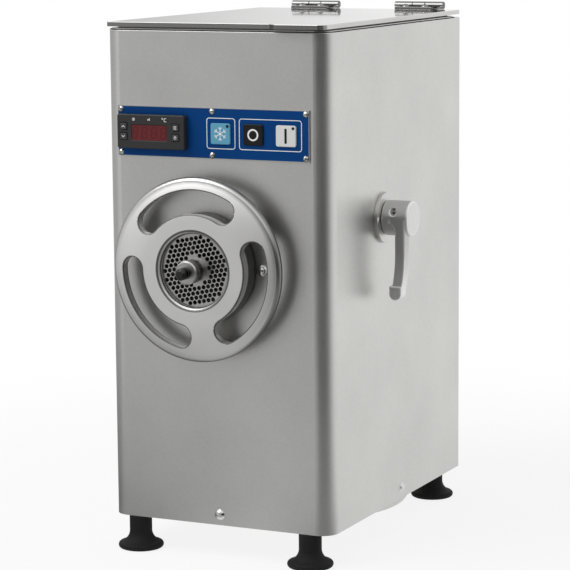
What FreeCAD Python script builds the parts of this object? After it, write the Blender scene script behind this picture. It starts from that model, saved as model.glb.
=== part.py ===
import FreeCAD
import Part
import math
import os

# Countertop grinder with a chilled grinding unit. Millimetres, +Z up, front towards -Y.
# Pieces are laid out about the middle of the cabinet, and saved with the origin on the floor under the
# middle of the whole outline.
V = FreeCAD.Vector
os.makedirs("parts", exist_ok=True)

# Cabinet sheet
body_w = 242.0
body_d = 336.0
body_h = 486.5
sheet = 1.5
corner_r = 17.0
top_rim = 14.0
rim_bend = 1.4
rear_return = 12.0
fold_gap = 0.25
base_lip = 22.0

# Feet and floor dish
foot_h = 34.0
foot_inset_x = 27.0
foot_inset_y = 9.5
foot_stem_r = 11.3
foot_base_r = 22.8
foot_stem_h = 17.0
foot_edge_h = 3.2
foot_flare = 0.3
foot_bolt_r = 4.0
foot_nut_r = 6.0
foot_nut_h = 6.5
foot_head_r = 6.8
foot_head_h = 5.0
foot_recess = 2.0
dish_drop = 16.0
dish_sheet = 1.2
dish_side_gap = 5.0
dish_flange = 4.0
dish_bend = 8.0
dish_y = 33.0

# Shared clearances
part_gap = 0.3
shaft_fit = 0.05
seat_fit = 0.02

# Screws
screw_r = 2.5
screw_head_r = 5.4
screw_head_h = 2.6
screw_len = 7.0
slot_w = 1.2
slot_d = 1.0
slot_turn = 40.0
base_screw_h = 10.4
side_screw_y = 9.0

# Worm axis, barrel and sleeve
axis_x = -11.0
axis_drop = 229.3
barrel_r = 39.5
bore_r = 31.0
neck_r = 49.0
neck_out = 21.5
plate_r = 41.0
plate_t = 8.0
plate_proud = 2.0
knife_chamber_r = 38.0
collar_out = 3.0
collar_r = 48.0
sleeve_r = 50.0
sleeve_flange_r = 68.0
sleeve_flange_t = 4.5
barrel_len = 152.0
barrel_wall = 10.0
sleeve_tail = 13.0
sleeve_rear_flange_r = 58.0
sleeve_rear_flange_t = 8.0
stop_pin_offset = 61.1
stop_pin_r = 6.0
stop_pin_shank_r = 3.0
stop_pin_h = 5.6

# Grinding plate
plate_hole_r = 2.15
plate_hole_pitch = 5.05
plate_hole_turn = 12.0
plate_holes_inner = 13.5
plate_holes_outer = 36.0
bush_r = 11.5
bush_stem_r = 8.6
bush_out = 44.0
bush_chamfer = 1.2

# Worm and knife
pin_r = 5.8
pin_out = 57.0
pin_groove_r = 4.6
pin_groove_w = 2.0
pin_tip = 2.5
core_r = 14.0
flight_t = 6.0
flight_pitch = 34.0
flight_gap = 0.5
flight_root = 2.0
knife_square = 14.0
knife_r = 35.0
knife_t = 11.0
knife_arm_t = 7.5
knife_arm_w = 11.0
hex_af = 20.0
hex_len = 30.0

# Handwheel nut
wheel_r = 90.6
rim_out = 19.3
rim_r = 5.0
disc_t = 7.0
hub_out = 30.0
hub_flat_r = 50.0
skirt_r = 54.0
skirt_gap = 2.0
lip_r = 36.0
lip_chamfer = 3.0
thread_gap = 0.3
thrust_t = 1.5
thrust_r = 37.0
slot_mid_r = 66.5
slot_half_w = 11.5
slot_half_span = 38.0
slot_first = 99.0
slot_count = 3

# Lock lever
lock_y = -38.0
lock_shaft_r = 6.0
lock_cam_half = 24.0
lock_flange_r = 25.3
lock_flange_t = 4.0
lock_screw_offset = 21.3
lock_screw_r = 1.8
lock_screw_head_r = 3.4
hub_r = 17.5
hub_len = 28.0
arm_t = 10.7
arm_w = 13.0
arm_len = 80.4
arm_back = 2.6
arm_straight = 36.0
arm_set_in = 4.5
arm_flare = 6.0
arm_flare_len = 14.0
arm_flare_drop = 3.0
pad_r = 6.5
pad_len = 8.0
pad_proud = 1.2
set_screw_r = 3.0
set_screw_tilt = 25.0
set_screw_sunk = 2.0
set_screw_in = 12.5

# Lid and hopper
lid_t = 4.5
lid_skin = 1.2
lid_gap = 2.9
lid_front = 3.0
lid_left = 4.6
lid_right = 1.4
lid_rear = 5.0
lid_corner = 3.0
lip_w = 50.0
lip_out = 9.0
lip_slope = 9.0
lip_corner = 4.0
gasket_w = 7.0
gasket_inset = 5.0
hopper_sheet = 1.2
hopper_inset = 2.0
hopper_depth = 48.0
hopper_corner = 18.0
chute_r = 28.0
chute_wall = 1.5
chute_flange = 7.0
chute_step = 1.0
chute_y = -80.0

# Lid hinges
hinge_w = 42.7
hinge_leaf_d = 14.0
hinge_leaf_t = 3.0
knuckle_r = 4.0
hinge_gap = 1.0
hinge_pin_r = 2.0
hinge_spacing = 122.0
hinge_mid = 10.4
barrel_over = 6.5
knuckle_mid = 14.0
hinge_down = 30.0
hinge_screw_pitch = 22.0
lid_screw_in = 7.5
back_screw_drop = 18.0
hinge_screw_r = 4.2
hinge_screw_h = 2.8
hinge_shank_r = 1.7

# Control panel
panel_left = 15.2
panel_right = 20.1
panel_drop = 73.7
panel_h = 49.5
panel_t = 1.5
panel_screw_in = 3.6
panel_screw_r = 1.5
panel_screw_head_r = 3.3
panel_screw_h = 1.7
bezel_w = 74.0
bezel_h = 33.4
bezel_t = 8.0
bezel_left = 3.2
bezel_wall = 2.0
bezel_r = 2.0
window_w = 38.5
window_h = 15.0
window_left = 16.0
window_down = 10.2
window_lap = 1.5
window_t = 1.4
thermostat_w = 69.0
thermostat_h = 28.0
thermostat_d = 57.0
thermostat_proud = 1.0
key_w = 7.0
key_h = 6.4
key_gap = 0.25
key_proud = 0.9
key_collar = 1.0
key_stem = 4.2
key_travel = 0.5
key_left_x = 7.4
key_right_x = 64.5
key_rise = 4.9
button_w = 21.0
button_h = 20.4
button_proud = 2.0
button_depth = 8.0
button_r = 2.0
button_pocket = 11.0
button_start_in = 23.9
button_stop_in = 58.5
button_cold_in = 93.6
switch_w = 29.0
switch_d = 34.0

# Drive
gear_module = 1.75
wheel_teeth = 40
pinion_teeth = 14
gear_addendum = 0.8
gear_dedendum = 1.15
gear_angle = 25.0
gear_backlash = 0.30
gear_w = 14.0
first_gear_w = 10.0
gear_end_gap = 2.0
case_wall = 5.0
case_gap = 2.6
case_front = 15.0
case_space = 33.0
cover_t = 12.0
bearing_w = 10.0
output_r = 17.0
output_bearing_r = 26.0
counter_r = 7.0
counter_bearing_r = 13.0
rotor_shaft_r = 8.0
rotor_bearing_r = 16.0
motor_r = 57.0
motor_wall = 2.5
motor_rear_gap = 6.0
shield_t = 12.0
rotor_r = 34.5
air_gap = 0.6
stator_end = 9.0
gear_bolt_r = 3.0
shelf_t = 2.0
shelf_fold = 18.0
shelf_rear_gap = 4.0

# Cooling circuit
jacket_t = 10.0
jacket_w = 38.0
jacket_front = 12.0
compressor_r = 62.0
compressor_head = 34.0
compressor_dome = 24.0
compressor_plate_t = 3.0
compressor_plate_w = 118.0
terminal_w = 46.0
terminal_h = 52.0
terminal_d = 18.0
compressor_front = 20.0
condenser_sides = 89.0
condenser_h = 132.0
condenser_d = 24.0
condenser_rear_gap = 4.0
condenser_end = 6.0
condenser_x = -8.0
fin_pitch = 7.5
fin_t = 0.8
end_plate_t = 2.0
coil_tube_r = 4.0
coil_rows = 3
fan_r = 54.0
fan_hub_r = 13.0
fan_blade_t = 1.6
fan_blade_w = 26.0
fan_blade_turn = 25.0
fan_depth = 14.0
fan_gap = 4.0
fan_motor_r = 20.0
fan_motor_len = 24.0
fan_shaft_r = 2.5
fan_blades = 5
fan_arm_w = 12.0
fan_arm_t = 2.0
pipe_r = 3.0
pipe_bend = 10.0
hot_pipe_in = 14.5
cold_pipe_in = 16.5
stub_len = 8.0
suction_h = 90.0
liquid_pipe_in = 8.5
liquid_drop = 36.0

# Controls and mains inlet
box_d = 42.0
box_w = 92.0
box_h = 74.0
box_rear_gap = 12.5
box_above = 62.0
gland_side = 35.0
gland_h = 34.0
gland_bore_r = 4.5
gland_thread_r = 10.0
gland_hex_af = 24.0
gland_hex_t = 6.0
gland_cap_r = 11.0
gland_out = 22.0
gland_in = 9.0
vent_rows = 9
vent_pitch = 12.0
vent_slot_w = 5.0
vent_edge = 6.25
vent_low = 40.0
vent_gap = 14.0

# Height of a quarter circle over its chord, as a share of the half chord
quarter = math.sqrt(2) - 1

# Planes and axes that the pieces share
half_w = body_w / 2
gland_x = half_w - gland_side
half_d = body_d / 2
front = -half_d
floor_z = foot_h
top_z = foot_h + body_h
inner_x = half_w - sheet
inner_rear = half_d - sheet
axis_z = top_z - axis_drop
lock_z = axis_z + barrel_r + part_gap
barrel_rear = front + barrel_len
sleeve_rear = barrel_rear + sleeve_tail
gear_centre = gear_module * (wheel_teeth + pinion_teeth) / 2
gear_r = gear_module * (wheel_teeth / 2 + gear_addendum)
counter_x = axis_x + gear_centre
case_y = sleeve_rear
cover_y = case_y + case_front + case_space
motor_y = cover_y + cover_t
motor_end = inner_rear - motor_rear_gap - shield_t
shelf_z = axis_z - motor_r - part_gap
base_top = floor_z + sheet
dish_r = inner_x - fold_gap - sheet - dish_side_gap - dish_flange
dish_floor = floor_z - dish_drop + dish_sheet
lid_z = top_z + lid_gap
lid_top = lid_z + lid_t
lid_end = half_d + lid_rear
hinge_y = lid_end + hinge_gap + knuckle_r
hinge_z = lid_top + knuckle_r
panel_x0 = -half_w + panel_left
panel_x1 = half_w - panel_right
panel_z1 = top_z - panel_drop
panel_z0 = panel_z1 - panel_h
panel_mid_z = (panel_z0 + panel_z1) / 2
panel_face = front - panel_t
bezel_x0 = panel_x0 + bezel_left
bezel_mid_x = bezel_x0 + bezel_w / 2
bezel_face = panel_face - bezel_t
button_xs = [("cold", panel_x1 - button_cold_in), ("stop", panel_x1 - button_stop_in),
             ("start", panel_x1 - button_start_in)]
foot_places = [(sx * (half_w - foot_inset_x), sy * (half_d - foot_inset_y))
               for sy in (-1, 1) for sx in (-1, 1)]
hopper_floor = top_z - hopper_depth
hub_end = half_w + lock_flange_t + part_gap + hub_len
outline_mid = V((hub_end - half_w - screw_head_h) / 2, (front - pin_out + half_d + gland_out) / 2, 0)
jacket_y0 = front + jacket_front
jacket_mid = jacket_y0 + jacket_w / 2
jacket_r = sleeve_r + jacket_t
compressor_y = dish_y - compressor_front
condenser_y1 = inner_rear - condenser_rear_gap
condenser_y0 = condenser_y1 - condenser_d
condenser_mid = (condenser_y0 + condenser_y1) / 2
condenser_w = 2 * inner_x - condenser_sides
condenser_x0 = condenser_x - condenser_w / 2
condenser_x1 = condenser_x + condenser_w / 2
coil_zs = [base_top + condenser_h * (k + 0.5) / coil_rows for k in range(coil_rows)]


def block(x0, x1, y0, y1, z0, z1):
    return Part.makeBox(x1 - x0, y1 - y0, z1 - z0, V(x0, y0, z0))


def rod_x(y, z, r, x0, x1):
    return Part.makeCylinder(r, x1 - x0, V(x0, y, z), V(1, 0, 0))


def rod_y(x, z, r, y0, y1):
    return Part.makeCylinder(r, y1 - y0, V(x, y0, z), V(0, 1, 0))


def rod_z(x, y, r, z0, z1):
    return Part.makeCylinder(r, z1 - z0, V(x, y, z0), V(0, 0, 1))


def join(*solids):
    return solids[0].fuse(list(solids[1:])).removeSplitter()


def ring_y(x, z, r0, r1, y0, y1):
    return rod_y(x, z, r1, y0, y1).cut(rod_y(x, z, r0, y0, y1))


def turned_y(points, x, z):
    # Solid of revolution about a Y line from (radius, y) points.
    outline = Part.makePolygon([V(x + r, y, z) for r, y in points + points[:1]])
    return Part.Face(outline).revolve(V(x, 0, z), V(0, 1, 0), 360)


def turned_z(points, x, y):
    # Solid of revolution about a Z line. Each point is (radius, z), and a point with a third value is
    # the end of an arc that bulges by that fraction of a half chord, to the left of its direction.
    edges = []
    for (r0, z0, *_), (r1, z1, *bulge) in zip(points, points[1:] + points[:1]):
        start = V(r0, 0, z0)
        end = V(r1, 0, z1)
        if bulge:
            side = V(z0 - z1, 0, r1 - r0) * (bulge[0] / 2)
            edges.append(Part.Arc(start, (start + end) * 0.5 + side, end).toShape())
        else:
            edges.append(Part.LineSegment(start, end).toShape())
    solid = Part.Face(Part.Wire(edges)).revolve(V(0, 0, 0), V(0, 0, 1), 360)
    solid.translate(V(x, y, 0))
    return solid


def soft_block(x0, x1, y0, y1, z0, z1, r, axis):
    # Block with its edges along one axis rounded.
    solid = block(x0, x1, y0, y1, z0, z1)
    edges = [e for e in solid.Edges if abs(abs(e.tangentAt(e.FirstParameter).dot(axis)) - 1) < 1e-6]
    return solid.makeFillet(r, edges)


def cabinet_block(inset, y1, z0, z1):
    # Block of the cabinet's plan with the two front corners rounded.
    solid = block(-half_w + inset, half_w - inset, front + inset, y1, z0, z1)
    edges = [e for e in solid.Edges
             if abs(e.tangentAt(e.FirstParameter).z) > 0.99 and e.CenterOfMass.y < 0]
    return solid.makeFillet(corner_r - inset, edges)


def hex_y(x, z, across, y0, y1):
    r = across / math.sqrt(3)
    ring = [V(x + r * math.cos(k * math.pi / 3), y0, z + r * math.sin(k * math.pi / 3)) for k in range(7)]
    return Part.Face(Part.makePolygon(ring)).extrude(V(0, y1 - y0, 0))


def domed_pin(head_r, head_h, shank_r, length):
    # Dome on the XY plane with its shank below.
    dome_r = (head_r * head_r + head_h * head_h) / (2 * head_h)
    dome = Part.makeSphere(dome_r, V(0, 0, head_h - dome_r)).common(Part.makeCylinder(head_r, head_h))
    return dome.fuse(Part.makeCylinder(shank_r, length, V(0, 0, -length)))


def set_on(pin, place, out):
    pin.Placement = FreeCAD.Placement(place, FreeCAD.Rotation(V(0, 0, 1), out))
    return pin


def slotted_screw(place, out, head_r, head_h, shank_r, length, turn):
    # Raised-head screw whose head stands on the surface at place, facing along out.
    groove = block(-head_r, head_r, -slot_w / 2, slot_w / 2, head_h - slot_d, head_h + slot_d)
    groove.rotate(V(0, 0, 0), V(0, 0, 1), turn)
    return set_on(domed_pin(head_r, head_h, shank_r, length).cut(groove), place, out)


def tube(points, r, bend):
    # Pipe along straight runs joined by tangent arcs.
    edges = []
    start = points[0]
    for before, corner, after in zip(points, points[1:], points[2:]):
        a = (before - corner).normalize()
        b = (after - corner).normalize()
        half_turn = (math.pi - a.getAngle(b)) / 2
        reach = bend * math.tan(half_turn)
        middle = (a + b).normalize() * (bend / math.cos(half_turn) - bend)
        edges.append(Part.LineSegment(start, corner + a * reach).toShape())
        edges.append(Part.Arc(corner + a * reach, corner + middle, corner + b * reach).toShape())
        start = corner + b * reach
    edges.append(Part.LineSegment(start, points[-1]).toShape())
    section = Part.Wire(Part.makeCircle(r, points[0], points[1] - points[0]))
    return Part.Wire(edges).makePipeShell([section], True, False)


def save(name, *solids):
    shape = solids[0] if len(solids) == 1 else Part.makeCompound(list(solids))
    shape.translated(outline_mid * -1).exportStep("parts/" + name + ".step")


def panel_screw_places():
    for z in (panel_z0 + panel_screw_in, panel_z1 - panel_screw_in):
        for x in (panel_x0 + panel_screw_in, (panel_x0 + panel_x1) / 2, panel_x1 - panel_screw_in):
            yield V(x, panel_face, z)


def base_screw_places():
    z = floor_z + base_screw_h
    return [(V(0, front, z), V(0, -1, 0)), (V(half_w, side_screw_y, z), V(1, 0, 0)),
            (V(-half_w, side_screw_y, z), V(-1, 0, 0))]


def back_screw_places():
    x = inner_x - rear_return / 2
    levels = [floor_z + base_lip + part_gap + rear_return, (floor_z + top_z) / 2, top_z - 3 * rear_return]
    return [V(sx * x, half_d, z) for sx in (-1, 1) for z in levels]


def lock_screw_places():
    return [V(half_w + lock_flange_t, lock_y + sy * lock_screw_offset, lock_z) for sy in (-1, 1)]


def gearbox_bolt_places():
    r = gear_r + case_gap + case_wall / 2
    return [(x, axis_z + sz * r) for x in (axis_x, counter_x) for sz in (-1, 1)]


def hinge_centres():
    return [hinge_mid - hinge_spacing / 2, hinge_mid + hinge_spacing / 2]


def back_leaf_screw_places():
    z = lid_z - back_screw_drop
    return [V(x + sx * hinge_screw_pitch / 2, half_d + hinge_leaf_t, z)
            for x in hinge_centres() for sx in (-1, 1)]


def screw_hole(place, out, r, depth):
    return Part.makeCylinder(r + shaft_fit, 2 * depth, place + out * depth, out * -1)


def make_cabinet():
    wrap = cabinet_block(0, half_d, floor_z, top_z)
    wrap = wrap.makeFillet(rim_bend, [e for e in wrap.Edges if abs(e.BoundBox.ZMin - top_z) < 1e-4])
    wrap = wrap.cut(cabinet_block(sheet, half_d + 1, floor_z - 1, top_z - sheet))
    wrap = wrap.cut(soft_block(-half_w + top_rim, half_w - top_rim, front + top_rim, half_d - top_rim,
                               top_z - 2 * sheet, top_z + 1, corner_r / 2, V(0, 0, 1)))
    return_y = inner_rear - fold_gap - sheet
    for sx in (-1, 1):
        x = sorted((sx * inner_x, sx * (inner_x - rear_return)))
        wrap = wrap.fuse(block(x[0], x[1], return_y, return_y + sheet,
                               floor_z + base_lip + part_gap, top_z - sheet))
    cuts = [rod_y(axis_x, axis_z, collar_r + part_gap, front - 1, front + 2 * sheet),
            rod_x(lock_y, lock_z, lock_shaft_r + part_gap, inner_x - 1, half_w + 1),
            block(bezel_mid_x - thermostat_w / 2 - part_gap, bezel_mid_x + thermostat_w / 2 + part_gap,
                  front - 1, front + 2 * sheet, panel_mid_z - thermostat_h / 2 - part_gap,
                  panel_mid_z + thermostat_h / 2 + part_gap),
            screw_hole(V(axis_x + stop_pin_offset, front, axis_z), V(0, -1, 0), stop_pin_shank_r, 3 * sheet)]
    cuts += [button_hole(x, 2 * sheet) for _, x in button_xs]
    cuts += [screw_hole(p, V(0, -1, 0), panel_screw_r, panel_t + 2 * sheet) for p in panel_screw_places()]
    cuts += [screw_hole(p, out, screw_r, 2 * sheet) for p, out in base_screw_places()]
    cuts += [screw_hole(p, V(0, 1, 0), screw_r, 4 * sheet) for p in back_screw_places()]
    cuts += [screw_hole(p, V(1, 0, 0), lock_screw_r, lock_flange_t + 2 * sheet) for p in lock_screw_places()]
    save("cabinet_wrap", wrap.cut(cuts).removeSplitter())


def button_hole(x, depth):
    w = button_w / 2 + part_gap
    h = button_h / 2 + part_gap
    return block(x - w, x + w, panel_face - 1, front + depth, panel_mid_z - h, panel_mid_z + h)


def make_back_panel():
    x = inner_x - fold_gap
    panel = block(-x, x, inner_rear, half_d, floor_z, top_z - sheet - fold_gap)
    cuts = [rod_y(gland_x, floor_z + gland_h, gland_thread_r + shaft_fit, inner_rear - 1, half_d + 1)]
    cuts += [screw_hole(p, V(0, 1, 0), screw_r, 2 * sheet) for p in back_screw_places()]
    cuts += [screw_hole(p, V(0, 1, 0), hinge_shank_r, hinge_leaf_t + 2 * sheet)
             for p in back_leaf_screw_places()]
    vent_slot_l = 2 * (x - vent_edge - vent_gap) / 3
    column = vent_slot_l + vent_gap
    for row in range(vent_rows):
        z = floor_z + vent_low + row * vent_pitch
        for col in (-1, 0, 1):
            mid = col * column
            if col and z < floor_z + gland_h + gland_hex_af:
                continue
            cuts.append(soft_block(mid - vent_slot_l / 2, mid + vent_slot_l / 2, inner_rear - 1, half_d + 1,
                                   z, z + vent_slot_w, vent_slot_w / 2 - seat_fit, V(0, 1, 0)))
    save("back_panel", panel.cut(cuts))


def make_base():
    gap = sheet + fold_gap
    rear = inner_rear - fold_gap
    pan = cabinet_block(gap, rear, floor_z, floor_z + base_lip)
    pan = pan.cut(cabinet_block(gap + sheet, rear + 1, base_top, floor_z + base_lip + 1))
    lip_x = half_w - foot_inset_x - foot_nut_r - part_gap
    pan = pan.fuse(block(-lip_x, lip_x, rear - sheet, rear, base_top, floor_z + base_lip))
    cuts = [rod_z(0, dish_y, dish_r + part_gap, floor_z - 1, base_top + 1)]
    cuts += [rod_z(x, y, foot_bolt_r + shaft_fit, floor_z - 1, base_top + 1) for x, y in foot_places]
    cuts += [screw_hole(p, out, screw_r, 3 * sheet) for p, out in base_screw_places()]
    save("base_pan", pan.cut(cuts).removeSplitter())
    low_z = floor_z - dish_drop
    rim_r = dish_r + dish_flange
    flat_r = dish_r - dish_bend
    bend_z = low_z + dish_bend
    save("floor_dish", turned_z([(0, low_z), (flat_r, low_z), (dish_r, bend_z, -quarter), (dish_r, base_top),
                                 (rim_r, base_top), (rim_r, base_top + dish_sheet),
                                 (dish_r - dish_sheet, base_top + dish_sheet), (dish_r - dish_sheet, bend_z),
                                 (flat_r, dish_floor, quarter), (0, dish_floor)], 0, dish_y))


def make_feet():
    feet = []
    bolts = []
    for x, y in foot_places:
        stem_z = foot_h - foot_stem_h
        tread_r = foot_base_r - foot_edge_h
        foot = turned_z([(0, 0), (tread_r, 0), (tread_r, 2 * foot_edge_h, -1),
                         (foot_stem_r, stem_z, foot_flare), (foot_stem_r, foot_h), (0, foot_h)], x, y)
        head_top = foot_recess + foot_head_h
        foot = foot.cut(rod_z(x, y, foot_head_r + part_gap, -1, head_top))
        foot = foot.cut(rod_z(x, y, foot_bolt_r + shaft_fit, 0, foot_h + 1))
        feet.append(foot)
        bolts.append(join(rod_z(x, y, foot_head_r, foot_recess, head_top),
                          rod_z(x, y, foot_bolt_r, head_top, base_top + 2 * foot_nut_h),
                          rod_z(x, y, foot_nut_r, base_top, base_top + foot_nut_h)))
    save("rubber_feet", *feet)
    save("foot_bolts", *bolts)


def make_case_screws():
    screws = [slotted_screw(p, out, screw_head_r, screw_head_h, screw_r, screw_len, slot_turn * (k + 1))
              for k, (p, out) in enumerate(base_screw_places())]
    screws += [slotted_screw(p, V(0, 1, 0), screw_head_r, screw_head_h, screw_r, screw_len, slot_turn * k)
               for k, p in enumerate(back_screw_places())]
    screws += [slotted_screw(p, V(1, 0, 0), lock_screw_head_r, screw_head_h / 2, lock_screw_r,
                             lock_flange_t + screw_len, slot_turn * k)
               for k, p in enumerate(lock_screw_places())]
    screws += [slotted_screw(p, V(0, 1, 0), hinge_screw_r, hinge_screw_h, hinge_shank_r,
                             hinge_leaf_t + screw_len, slot_turn * k)
               for k, p in enumerate(back_leaf_screw_places())]
    screws += [rod_y(x, z, gear_bolt_r, case_y + case_front + case_wall, motor_y)
               for x, z in gearbox_bolt_places()]
    save("case_screws", *screws)


def make_hopper():
    rim_z = top_z + hopper_sheet
    tray = soft_block(-half_w + hopper_inset, half_w - hopper_inset, front + hopper_inset,
                      half_d - hopper_inset, top_z, rim_z, corner_r - hopper_inset, V(0, 0, 1))
    wall = hopper_inset + top_rim + part_gap
    outer = soft_block(-half_w + wall, half_w - wall, front + wall, half_d - wall,
                       hopper_floor - hopper_sheet, top_z, hopper_corner, V(0, 0, 1))
    low = [e for e in outer.Edges if e.BoundBox.ZMax < hopper_floor]
    outer = outer.makeFillet(hopper_corner / 2, low)
    wall += hopper_sheet
    inner = soft_block(-half_w + wall, half_w - wall, front + wall, half_d - wall,
                       hopper_floor, rim_z + 1, hopper_corner - hopper_sheet, V(0, 0, 1))
    low = [e for e in inner.Edges if e.BoundBox.ZMax < hopper_floor + 0.01]
    inner = inner.makeFillet(hopper_corner / 2 - hopper_sheet, low)
    mouth = rod_z(axis_x, chute_y, chute_r, hopper_floor - 3 * hopper_sheet, hopper_floor + 1)
    save("hopper_tray", join(tray, outer).cut(inner).cut(mouth))
    top = hopper_floor - hopper_sheet
    chute = join(rod_z(axis_x, chute_y, chute_r + chute_wall, axis_z, top),
                 rod_z(axis_x, chute_y, chute_r + chute_wall + chute_flange, top - chute_wall, top))
    chute = chute.cut(rod_z(axis_x, chute_y, chute_r, axis_z - 1, top + 1))
    save("feed_chute", chute.cut(rod_y(axis_x, axis_z, sleeve_r + part_gap, front, half_d)))


def lid_outline(inset, z):
    # Lid plan with a lifting lip at the right front corner.
    x0 = -half_w + lid_left + inset
    x1 = half_w - lid_right - inset
    y0 = front - lid_front + inset
    y1 = lid_end - inset
    tip = y0 - lip_out
    lip_x = x1 - lip_w
    edge = [V(x0, y0, z), V(lip_x - lip_slope, y0, z), V(lip_x, tip, z), V(x1 - lip_corner, tip, z),
            V(x1, tip + lip_corner, z), V(x1, y1, z), V(x0, y1, z), V(x0, y0, z)]
    return Part.Face(Part.makePolygon(edge))


def make_lid():
    skin = lid_outline(0, lid_z).extrude(V(0, 0, lid_t))
    corners = [e for e in skin.Edges if abs(e.tangentAt(e.FirstParameter).z) > 0.99]
    skin = skin.makeFillet(lid_corner, corners)
    x0 = -half_w + lid_left
    x1 = half_w - lid_right
    pocket = block(x0 + lid_skin, x1 - lid_skin, front - lid_front + lid_skin, lid_end - lid_skin,
                   lid_z - 1, lid_top - lid_skin)
    holes = [screw_hole(p, V(0, 0, 1), hinge_shank_r, hinge_leaf_t + lid_t) for p in lid_leaf_screw_places()]
    save("lid", skin.cut([pocket] + holes))
    edge = lid_skin + part_gap
    liner = block(x0 + edge, x1 - edge, front - lid_front + edge, lid_end - edge, lid_z, lid_top - lid_skin)
    save("lid_liner", liner.cut(holes))
    gasket_z = top_z + hopper_sheet + part_gap
    inset = hopper_inset + gasket_inset
    gasket = soft_block(-half_w + inset, half_w - inset, front + inset, half_d - inset,
                        gasket_z, lid_z, corner_r - inset / 2, V(0, 0, 1))
    inset += gasket_w
    hollow = soft_block(-half_w + inset, half_w - inset, front + inset, half_d - inset,
                        gasket_z - 1, lid_z + 1, corner_r - inset / 2, V(0, 0, 1))
    save("lid_gasket", gasket.cut(hollow))


def lid_leaf_screw_places():
    y = lid_end - lid_screw_in
    return [V(x + sx * hinge_screw_pitch / 2, y, lid_top + hinge_leaf_t)
            for x in hinge_centres() for sx in (-1, 1)]


def make_hinges():
    lid_leaves = []
    cabinet_leaves = []
    pins = []
    for x in hinge_centres():
        x0 = x - hinge_w / 2
        x1 = x + hinge_w / 2
        gap0 = x - knuckle_mid / 2
        gap1 = x + knuckle_mid / 2
        end0 = x0 - barrel_over
        end1 = x1 + barrel_over
        barrel = rod_x(hinge_y, hinge_z, knuckle_r, end0, end1)
        leaf = block(x0, x1, lid_end - hinge_leaf_d, hinge_y, lid_top, lid_top + hinge_leaf_t)
        middle = block(gap0 - part_gap, gap1 + part_gap, lid_end, hinge_y + 2 * knuckle_r,
                       lid_top - 1, hinge_z + 2 * knuckle_r)
        bore = rod_x(hinge_y, hinge_z, hinge_pin_r + shaft_fit, end0 - 1, end1 + 1)
        holes = [screw_hole(p, V(0, 0, 1), hinge_shank_r, 2 * hinge_leaf_t) for p in lid_leaf_screw_places()]
        lid_leaves.append(join(leaf, barrel).cut([middle, bore] + holes))
        drop = lid_z - part_gap
        plate = block(x0, x1, half_d, half_d + hinge_leaf_t, lid_z - hinge_down, drop)
        web = block(gap0, gap1, half_d, hinge_y + knuckle_r, drop - hinge_leaf_t, drop)
        post = block(gap0, gap1, hinge_y, hinge_y + knuckle_r, drop - hinge_leaf_t, hinge_z)
        eye = rod_x(hinge_y, hinge_z, knuckle_r, gap0, gap1)
        holes = [screw_hole(p, V(0, 1, 0), hinge_shank_r, 2 * hinge_leaf_t) for p in back_leaf_screw_places()]
        cabinet_leaves.append(join(plate, web, post, eye).cut([bore] + holes))
        pins.append(rod_x(hinge_y, hinge_z, hinge_pin_r, end0, end1))
    save("hinge_lid_leaves", *lid_leaves)
    save("hinge_cabinet_leaves", *cabinet_leaves)
    save("hinge_pins", *pins)
    save("hinge_lid_screws", *[slotted_screw(p, V(0, 0, 1), hinge_screw_r, hinge_screw_h, hinge_shank_r,
                                             hinge_leaf_t + lid_skin, slot_turn * k)
                               for k, p in enumerate(lid_leaf_screw_places())])


def make_barrel():
    seat_out = neck_out + plate_proud - plate_t
    points = [(plate_r + part_gap, front - neck_out), (neck_r, front - neck_out),
              (neck_r, front - collar_out), (barrel_r, front - collar_out), (barrel_r, barrel_rear),
              (core_r + shaft_fit, barrel_rear), (core_r + shaft_fit, barrel_rear - barrel_wall),
              (bore_r, barrel_rear - barrel_wall), (bore_r, front - collar_out),
              (knife_chamber_r, front - collar_out), (knife_chamber_r, front - seat_out),
              (plate_r + part_gap, front - seat_out)]
    barrel = turned_y(points, axis_x, axis_z)
    window = rod_z(axis_x, chute_y, chute_r - chute_step, axis_z, axis_z + 2 * barrel_r)
    groove = block(axis_x - barrel_r, axis_x + barrel_r, lock_y - lock_shaft_r - part_gap,
                   lock_y + lock_shaft_r + part_gap, lock_z - lock_shaft_r - part_gap, lock_z + barrel_r)
    save("grinding_barrel", barrel.cut([window, groove]))
    sleeve_bore = barrel_r + part_gap
    points = [(sleeve_bore, front - collar_out), (collar_r, front - collar_out), (collar_r, front + sheet),
              (sleeve_flange_r, front + sheet), (sleeve_flange_r, front + sheet + sleeve_flange_t),
              (sleeve_r, front + sheet + sleeve_flange_t), (sleeve_r, sleeve_rear - sleeve_rear_flange_t),
              (sleeve_rear_flange_r, sleeve_rear - sleeve_rear_flange_t),
              (sleeve_rear_flange_r, sleeve_rear), (sleeve_bore, sleeve_rear)]
    sleeve = turned_y(points, axis_x, axis_z)
    cuts = [rod_z(axis_x, chute_y, chute_r, axis_z, axis_z + 2 * sleeve_r),
            rod_x(lock_y, lock_z, lock_shaft_r + shaft_fit, axis_x - 2 * sleeve_r, axis_x + 2 * sleeve_r),
            screw_hole(V(axis_x + stop_pin_offset, front, axis_z), V(0, -1, 0), stop_pin_shank_r,
                       2 * sheet + sleeve_flange_t)]
    save("chill_sleeve", sleeve.cut(cuts))
    pin = domed_pin(stop_pin_r, stop_pin_h, stop_pin_shank_r, sheet + sleeve_flange_t)
    save("front_stop_pin", set_on(pin, V(axis_x + stop_pin_offset, front, axis_z), V(0, -1, 0)))


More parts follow.
